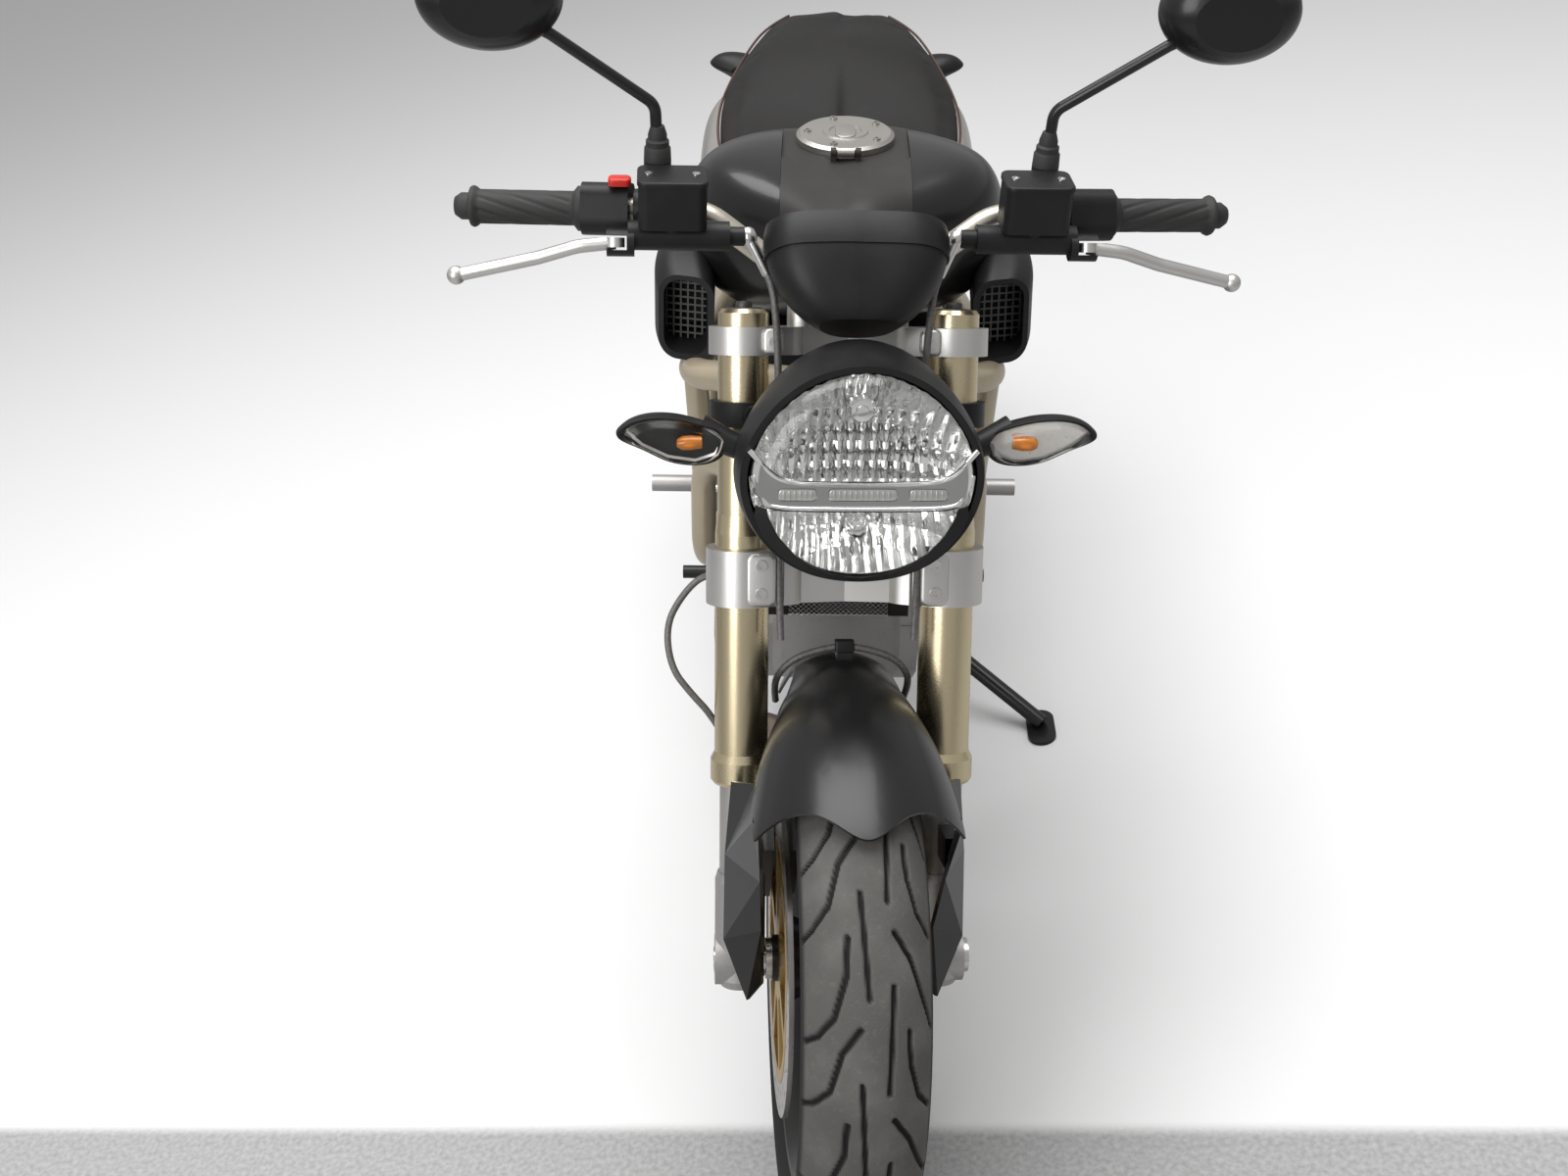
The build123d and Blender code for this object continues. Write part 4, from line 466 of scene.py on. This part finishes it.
# Grips: black rubber sleeves with a flared collar and slanting grooves, pushed onto the bar and closed by an end
# weight. Each is one spun sleeve whose grooves are pressed in by the ring and the turn.
grip_end = Vector((368.0, 41.0, 763.0))
grip_way = (Vector((140.0, 10.0, 760.0)) - grip_end).normalized()
grip_profile = [(0.0, -14.0), (9.0, -14.0), (13.0, -8.0), (13.0, 0.0), (19.0, 2.0), (20.0, 4.5), (19.0, 7.0)]
grip_profile += [(16.5, 10.0 + 1.4 * step) for step in range(67)]
grip_profile += [(19.0, 104.5), (21.5, 106.5), (21.5, 111.6), (12.0, 112.0)]
sleeves = bmesh.new()
for side in (-1.0, 1.0):
    start = Vector((side * grip_end.x, grip_end.y, grip_end.z))
    way = Vector((side * grip_way.x, grip_way.y, grip_way.z))
    sleeve = bmesh.new()
    lathe(sleeve, grip_profile, Matrix.Identity(4), 72)
    for vert in sleeve.verts:
        if 11.0 < vert.co.z < 101.0:
            turn = math.atan2(vert.co.y, vert.co.x)
            wave = math.cos(8.0 * turn + side * vert.co.z * 0.16)
            sunk = 1.0 - 0.075 * max(0.0, min(1.0, 3.0 * (wave - 0.55)))
            vert.co.x *= sunk
            vert.co.y *= sunk
    sleeve.transform(facing(start, way))
    spare = bpy.data.meshes.new("sleeve")
    sleeve.to_mesh(spare)
    sleeve.free()
    sleeves.from_mesh(spare)
    bpy.data.meshes.remove(spare)
grips = placed("grip_sleeves", sleeves, forks, "steering", rubber, 60.0)
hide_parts("grips")

# Headlamp: a black shell round a chromed bowl, a fluted clear lens in two parts and a bright bar between them.
# The bowl is a faceted sheet with two bulbs; the lens keeps the solids' shape, and the flutes stand behind it.
chrome = finish("chrome", (0.86, 0.86, 0.85), 0.09, 1.0, 0.0, (0.74, 0.74, 0.73), 0.2, 30.0, 900.0, 0.02)
lamp_glass = clear_plastic("lamp_glass", (0.98, 0.985, 0.98), 0.06)
amber = finish("amber", (0.75, 0.24, 0.02), 0.25, 0.0, 0.3, None, 0.2, 60.0, 900.0, 0.05)
coat("headlamp_trim", chrome)
coat("headlamp_lens", lamp_glass)
coat("front_indicator_lenses", clear_lens)
lamp = forks @ Matrix.Translation((0.0, -138.0, 519.0)) @ Matrix.Rotation(math.radians(99.4), 4, "X")
lamp_half_width = 112.0
lamp_top = 104.0
lamp_bottom = -100.0


def lamp_reach(turn):
    """How far the lamp's outline stands from its middle in a direction."""
    across, up = math.cos(turn), math.sin(turn)
    tall = lamp_top if up > 0.0 else -lamp_bottom
    power = 1.85
    return (abs(across / lamp_half_width) ** power + abs(up / tall) ** power) ** (-1.0 / power)


def lamp_sheet(columns, rows, scale, height):
    """A sheet that fills the lamp's outline, its height given by the place and the share of the way out."""
    sheet = bmesh.new()
    bmesh.ops.create_grid(sheet, x_segments=columns, y_segments=rows, size=1.0)
    for vert in sheet.verts:
        u, v = vert.co.x, vert.co.y
        disc_x, disc_y = u * math.sqrt(1.0 - v * v / 2.0), v * math.sqrt(1.0 - u * u / 2.0)
        out = math.hypot(disc_x, disc_y)
        turn = math.atan2(disc_y, disc_x)
        radius = out * lamp_reach(turn) * scale
        x, y = radius * math.cos(turn), radius * math.sin(turn)
        vert.co = (x, y, height(x, y, out))
    return sheet


flute_pitch = 11.0
bowl = lamp_sheet(200, 90, 0.925, lambda x, y, out: (
    -5.0 - 58.0 * (1.0 - out ** 3.0) + 2.6 * abs(math.sin(math.pi * x / flute_pitch))
    + 1.5 * abs(math.sin(math.pi * y / 19.0))
))
for up, radius in ((58.0, 13.0), (-56.0, 10.0)):
    lathe(bowl, [(0.0, -18.0), (radius * 0.45, -19.0), (radius * 0.5, -21.0), (radius * 0.8, -22.0), (radius, -27.0),
                 (radius * 1.1, -34.0), (radius * 0.9, -62.0)], Matrix.Translation((0.0, up, 0.0)), 24)
bowl_piece = placed("lamp_bowl", bowl, lamp, "steering", chrome, 20.0)
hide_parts("headlamp_reflector")

bead_line = [(-104.0, 27.0, 3.0), (-88.0, 9.0, 8.0), (-70.0, -1.0, 9.5), (-30.0, -2.0, 10.0), (30.0, -2.0, 10.0),
             (70.0, -1.0, 9.5), (88.0, 9.0, 8.0), (104.0, 27.0, 3.0)]
low_line = [(-101.0, 4.0, 3.0), (-92.0, -20.0, 7.0), (-80.0, -26.0, 9.0), (-30.0, -26.5, 10.0), (30.0, -26.5, 10.0),
            (80.0, -26.0, 9.0), (92.0, -20.0, 7.0), (101.0, 4.0, 3.0)]
tube_line("trim_beads", [bead_line, low_line], lamp, 2.6, "steering", chrome)
smoked = finish("smoked_lens", (0.50, 0.50, 0.48), 0.14, 0.5, 0.5, None, 0.3, 60.0, 900.0, 0.05)
windows = bmesh.new()
for across, width in ((-60.0, 35.0), (0.0, 63.0), (60.0, 35.0)):
    rounded_slab(windows, width, 11.0, 3.4, 4.0, Matrix.Translation((across, -13.0, 6.3)))
    for rib in range(int(width / 5.0) - 1):
        rounded_slab(windows, 2.0, 9.0, 1.0, 0.8,
                     Matrix.Translation((across - width / 2.0 + 5.0 * (rib + 1), -13.0, 9.5)), 1)
placed("trim_windows", windows, lamp, "steering", smoked)

bezel = bmesh.new()
outer = [(-97.0, -24.0), (-99.0, -34.0), (-92.0, -52.0), (-76.0, -71.0), (-56.0, -85.0), (-30.0, -94.0), (0.0, -97.0)]
inner = [(-88.0, -26.0), (-86.0, -34.0), (-77.0, -52.0), (-62.0, -70.0), (-45.0, -82.0), (-24.0, -90.0), (0.0, -93.0)]
for side in (-1.0, 1.0):
    rims = []
    for line, height in ((outer, -1.0), (outer, 7.0), (inner, 10.0), (inner, 4.0)):
        verts = [bezel.verts.new((side * -x, y, height)) for x, y in line]
        rims.append([bezel.edges.new(pair) for pair in zip(verts, verts[1:])])
    for first, second in zip(rims, rims[1:]):
        bmesh.ops.bridge_loops(bezel, edges=first + second)
placed("lamp_bezel", bezel, lamp, "steering", black_plastic, 40.0)

# Indicators: leaf-shaped lenses over a bright plate with an amber bulb, plugged into the shell's sides. The solids
# stay; the plates and bulbs are set inside them.
leaf = [(0.0, -2.0), (12.0, 7.0), (40.0, 10.0), (70.0, 3.0), (97.0, -18.0), (91.0, -32.0), (70.0, -39.0),
        (42.0, -33.0), (16.0, -18.0)]
leaf_middle = (54.0, -13.0)
plates = bmesh.new()
bulbs = bmesh.new()
for side in (-1.0, 1.0):
    tip = Vector((side * 220.0, -104.0, 559.0))
    root = Vector((side * 108.0, -84.0, 540.0))
    up = Vector((0.0, -math.sin(rake), math.cos(rake)))
    out = tip - root
    out = (out - up * out.dot(up)).normalized()
    back = up.cross(out) * side
    head = Matrix((out, back, up)).transposed().to_4x4()
    head.translation = tip
    corners = []
    for inwards, high in leaf:
        x = leaf_middle[0] + (inwards - leaf_middle[0]) * 0.93
        z = leaf_middle[1] + (high - leaf_middle[1]) * 0.93
        corners.append(plates.verts.new(head @ Vector((-x, 4.5, z))))
    face = bmesh.ops.contextual_create(plates, geom=corners)["faces"][0]
    bmesh.ops.inset_individual(plates, faces=[face], thickness=5.0, depth=-3.0)
    lathe(bulbs, [(0.0, 24.0), (4.0, 23.0), (7.0, 18.0), (7.5, 10.0), (6.0, 0.0), (0.0, 0.0)],
          head @ Matrix.Translation((-74.0, -2.0, -14.0)) @ Matrix.Rotation(math.radians(90.0), 4, "Y"), 24)
lamp_white = finish("lamp_white", (0.80, 0.79, 0.76), 0.3, 0.35, 0.2, (0.62, 0.61, 0.58), 0.4, 90.0, 900.0, 0.1)
placed("indicator_plates", plates, forks, "steering", lamp_white)
placed("indicator_bulbs", bulbs, forks, "steering", amber)

# Wheels: black cast spokes, drilled discs on gold carriers, and road tyres whose tread is cut into the crown. Each
# tyre is one spun sheet; the cuts are pressed in along their lines and coloured as dust-free rubber darkened further
# by painted shade, and dust lies on what meets the road.
disc_steel = finish("disc_steel", (0.56, 0.54, 0.52), 0.3, 1.0, 0.0, (0.4, 0.38, 0.36), 0.4, 30.0, 700.0, 0.12)
for node in ("front_rim", "rear_rim", "rear_sprocket"):
    coat(node, black_enamel)
for node in ("front_discs", "rear_disc"):
    coat(node, disc_steel)


def tyre_rubber():
    made = finish("tyre_rubber", (0.088, 0.085, 0.08), 0.8, worn=(0.15, 0.146, 0.138), share=0.6,
                  blotch=18.0, grain=500.0, bump=0.6, shine=0.2)
    tree = made.node_tree
    shader = tree.nodes["Principled BSDF"]
    marks = []
    for name in ("worn", "cut"):
        mark = tree.nodes.new("ShaderNodeAttribute")
        mark.attribute_name = name
        marks.append(Wire(tree, mark.outputs["Fac"]))
    worn, cut = marks
    # The grooves hold no dust, and their colour is darker than clean rubber: painted shade in the cuts.
    groove_shade = (0.012, 0.0118, 0.0115, 1.0)
    dusty = Wire(tree, shader.inputs["Base Color"].links[0].from_socket)
    cut.feed(shader.inputs["Base Color"], cut.mix(worn.mix((0.02, 0.0195, 0.019, 1.0), dusty), groove_shade))
    return made


rubber_tread = tyre_rubber()
first_cut = math.radians(56.7)


def treaded(name, node, size, rim_half, counts, cuts, place, body):
    """A tyre spun from its section, with the cuts of one repeat pressed in all the way round."""
    radius, half, drop = size
    steps, rows, repeats = counts
    crown = (half * half + drop * drop) / (2.0 * drop)
    sweep = math.asin(half / crown)
    lip = 228.0
    bead = rim_half - 6.3
    section = [(bead, 216.3), (bead, lip)]
    section += [(bead + (half - bead) * math.sin(math.pi / 2 * share), lip + (radius - drop - lip) * share)
                for share in (0.2, 0.4, 0.6, 0.8)]
    arc = [(crown * math.sin(sweep * turn), radius - crown + crown * math.cos(sweep * turn))
           for turn in np.linspace(-1.0, 1.0, rows)]
    outline = [(-x, r) for x, r in section] + arc + [(x, r) for x, r in reversed(section)]
    shape = bmesh.new()
    lathe(shape, [(r, x) for x, r in outline] + [(216.3, -bead)], Matrix.Identity(4), steps)
    shape.transform(Matrix.Rotation(math.radians(90.0), 4, "Y"))
    made = placed(name, shape, Matrix.Identity(4), body, rubber_tread, 50.0)
    mesh = made.data
    flat = np.empty(len(mesh.vertices) * 3)
    mesh.vertices.foreach_get("co", flat)
    at = flat.reshape(-1, 3)
    out = np.hypot(at[:, 1], at[:, 2])
    lean_over = np.arctan2(at[:, 0], out - (radius - crown))
    on_crown = np.hypot(at[:, 0], out - (radius - crown)) > crown - 0.3
    across = crown * lean_over
    repeat = 2.0 * math.pi * radius / repeats
    along = np.mod((np.arctan2(-at[:, 1], at[:, 2]) - first_cut) * radius, repeat)
    depth = np.zeros(len(at))
    for wide, deep, line in cuts:
        for (from_s, from_t), (to_s, to_t) in zip(line, line[1:]):
            for shift in (-repeat, 0.0, repeat):
                way = np.array((to_s - from_s, to_t - from_t))
                share = ((along - from_s - shift) * way[0] + (across - from_t) * way[1]) / (way @ way)
                share = np.clip(share, 0.0, 1.0)
                gap = np.hypot(along - from_s - shift - share * way[0], across - from_t - share * way[1])
                depth = np.maximum(depth, deep * np.clip((wide / 2.0 + 0.9 - gap) / 1.8, 0.0, 1.0))
    depth *= on_crown
    at[:, 0] -= depth * np.sin(lean_over)
    slim = (out - depth * np.cos(lean_over)) / out
    at[:, 1] *= slim
    at[:, 2] *= slim
    mesh.vertices.foreach_set("co", at.reshape(-1))
    # The cut mark follows the grooves' depth and colours them: clean rubber with painted shade.
    mark = mesh.attributes.new("cut", "FLOAT", "POINT")
    mark.data.foreach_set("value", np.clip(depth / 2.0, 0.0, 1.0))
    worn = mesh.attributes.new("worn", "FLOAT", "POINT")
    worn.data.foreach_set("value", np.clip((sweep * 0.93 - np.abs(lean_over)) / 0.12, 0.0, 1.0) * on_crown)
    mesh.transform(place)
    mesh.update()
    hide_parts(node)
    return made


cuts = [
    (4.0, 4.0, [(0.0, -9.0), (48.0, -6.0), (94.0, -3.0)]),
    (4.0, 4.0, [(83.0, 20.0), (130.0, 18.0), (180.0, 16.0)]),
    (5.0, 4.0, [(40.0, -22.0), (75.0, -24.0), (112.0, -36.0), (132.0, -55.0), (141.0, -73.0)]),
    (5.0, 4.0, [(121.0, -11.0), (143.0, -28.0), (182.0, -40.0), (202.0, -60.0), (211.0, -76.0)]),
    (5.0, 4.0, [(36.0, 22.0), (61.0, 39.0), (94.0, 53.0), (127.0, 70.0)]),
    (5.0, 4.0, [(125.0, 36.0), (156.0, 38.0), (190.0, 49.0), (210.0, 68.0)]),
]
treaded("front_tread", "front_tyre", (300.0, 60.0, 48.0), 51.0, (840, 90, 11), cuts, forks, "front_wheel")
treaded("rear_tread", "rear_tyre", (312.0, 80.0, 56.0), 70.5, (480, 84, 11), cuts, rear_wheel, "rear_wheel")

# Brake hoses: braided lines from each master cylinder, behind the lamp and down to the fender's clip. They follow
# the solids' routes as cords whose far ends go back into the bike.
hose_braid = finish("hose_braid", (0.16, 0.155, 0.15), 0.42, 0.4, 0.0, (0.07, 0.068, 0.066), 0.6, 300.0, 1500.0, 0.6)
hose_radius = 3.6
bar_line = [(100.0, -24.0, 736.0), (90.0, -30.0, 715.0), (77.0, -36.0, 690.0), (73.0, -36.0, 650.0),
            (71.0, -31.0, 610.0), (70.0, -27.0, 580.0), (70.0, -28.0, 440.0), (66.0, -34.0, 346.0)]
half_crossover = [(0.0, -6.0, 334.0), (25.0, -6.0, 330.0), (51.0, -6.0, 321.0), (66.0, 2.0, 304.0),
                  (69.0, 18.0, 285.0), (66.0, 34.0, 268.0)]
crossover = [(-x, y, z) for x, y, z in reversed(half_crossover[1:])] + half_crossover
leg_loop = [(-128.6, 26.7, 400.0), (-141.0, 40.0, 399.0), (-163.0, 38.0, 377.0), (-179.0, 29.0, 348.0),
            (-174.0, 20.0, 306.0), (-153.0, 18.0, 279.0), (-133.0, 19.0, 257.0), (-122.0, 24.4, 236.0)]
mirrored_line = [(-x, y, z) for x, y, z in bar_line]


def line_length(line):
    """The length along a tube's middle, in metres."""
    thick = line.data.bevel_depth
    line.data.bevel_depth = 0.0
    bpy.context.view_layer.update()
    thread = evaluated(line)
    line.data.bevel_depth = thick
    points = [vert.co for vert in thread.vertices]
    return sum((points[edge.vertices[0]] - points[edge.vertices[1]]).length for edge in thread.edges)


for name, route in (("left_brake_hose", bar_line), ("right_brake_hose", mirrored_line),
                    ("crossover_hose", crossover), ("leg_hose", leg_loop)):
    hose = tube_line(name, [route], forks, hose_radius, "steering", hose_braid)
    line_length(hose)
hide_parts("brake_hoses")

fittings = bmesh.new()
for side in (-1.0, 1.0):
    ends = [Vector((side * x, y, z)) for x, y, z in bar_line[:3]]
    lathe(fittings, [(0.0, -8.0), (6.0, -7.0), (8.0, -3.0), (8.0, 3.0), (6.0, 6.0), (5.0, 8.0), (5.0, 40.0),
                     (3.7, 42.0)], facing(ends[0], ends[2] - ends[0]), 24)
placed("hose_fittings", fittings, forks, "steering", bright_steel)
hose_clip = bmesh.new()
rounded_slab(hose_clip, 20.0, 12.0, 12.0, 3.0, Matrix.Translation((0.0, -6.0, 328.0)))
placed("hose_clip", hose_clip, forks, "steering", black_plastic)

# Floor, light and camera: a pale studio floor whose colour darkens into the distance as painted shade of the light
# falling off, wide soft boxes overhead and beside, and a camera at eye height in front, looking down along the bike
# and rolled with its lean.
floor_shape = bmesh.new()
bmesh.ops.create_circle(floor_shape, cap_ends=True, segments=64, radius=60.0)
floor_mesh = bpy.data.meshes.new("floor")
floor_shape.to_mesh(floor_mesh)
floor_shape.free()
floor = bpy.data.objects.new("floor", floor_mesh)
bpy.context.collection.objects.link(floor)
studio_floor = finish("studio_floor", (0.76, 0.76, 0.76), 0.7, 0.0, 0.0, (0.74, 0.74, 0.74), 0.1, 3.0, 200.0, 0.02)
floor_tree = studio_floor.node_tree
floor_shader = floor_tree.nodes["Principled BSDF"]
here = Wire(floor_tree, floor_tree.nodes.new("ShaderNodeTexCoord").outputs["Object"])
across = here.node("ShaderNodeSeparateXYZ", {}, {0: here}, 0)
away = here.node("ShaderNodeSeparateXYZ", {}, {0: here}, 1)
plain = Wire(floor_tree, floor_shader.inputs["Base Color"].links[0].from_socket)
# The floor's colour greys with distance: painted shade standing for the light falling off away from the bike.
painted_falloff = away.above(-0.3, 4.6).mix(plain, (0.6, 0.6, 0.605, 1.0))
near_edge = -0.737
asphalt = noise(here, 160.0, 6.0).mix((0.2, 0.2, 0.2, 1.0), (0.5, 0.5, 0.5, 1.0))
nearer = near_edge - (away + across * 0.1154)
picture = (nearer.above(-0.012, 0.012) * (1.0 - nearer.above(0.3, 0.9))).mix(painted_falloff, asphalt)
seen = Wire(floor_tree, floor_tree.nodes.new("ShaderNodeLightPath").outputs["Is Camera Ray"])
here.feed(floor_shader.inputs["Base Color"], seen.mix((0.4, 0.4, 0.4, 1.0), picture))
floor_mesh.materials.append(studio_floor)

world = bpy.data.worlds.new("studio")
bpy.context.scene.world = world
world.use_nodes = True
world.node_tree.nodes["Background"].inputs["Color"].default_value = (1.0, 1.0, 1.0, 1.0)
world.node_tree.nodes["Background"].inputs["Strength"].default_value = 0.5


def soft_box(name, at, aim, width, height, power):
    """A wide rectangular lamp looking at a point."""
    light = bpy.data.lights.new(name, "AREA")
    light.shape = "RECTANGLE"
    light.size = width
    light.size_y = height
    light.energy = power
    made = bpy.data.objects.new(name, light)
    turn = (Vector(aim) - Vector(at)).to_track_quat("-Z", "Y").to_matrix().to_4x4()
    made.matrix_world = Matrix.Translation(at) @ turn
    bpy.context.collection.objects.link(made)
    return made


boxes = [
    soft_box("top_box", (0.0, 0.2, 4.2), (0.0, 0.0, 0.5), 3.6, 3.0, 190.0),
    soft_box("front_box", (-1.8, -3.2, 2.6), (0.0, -0.4, 0.6), 1.8, 2.4, 70.0),
]
eye = Vector((-32.57, -1273.71, 1643.5))
looking = (
    lean
    @ Matrix.Rotation(math.radians(1.01), 4, "Z")
    @ Matrix.Rotation(math.radians(90.0 - 34.54), 4, "X")
    @ Matrix.Rotation(math.radians(0.19), 4, "Z")
)
camera = bpy.data.objects.new("camera", bpy.data.cameras.new("camera"))
camera.data.sensor_width = 36.0
camera.data.lens = 39.78
camera.data.clip_start = 0.05
camera.matrix_world = Matrix.Translation(upright @ eye) @ looking
bpy.context.collection.objects.link(camera)
bpy.context.scene.camera = camera
bpy.context.scene.view_settings.view_transform = "Standard"
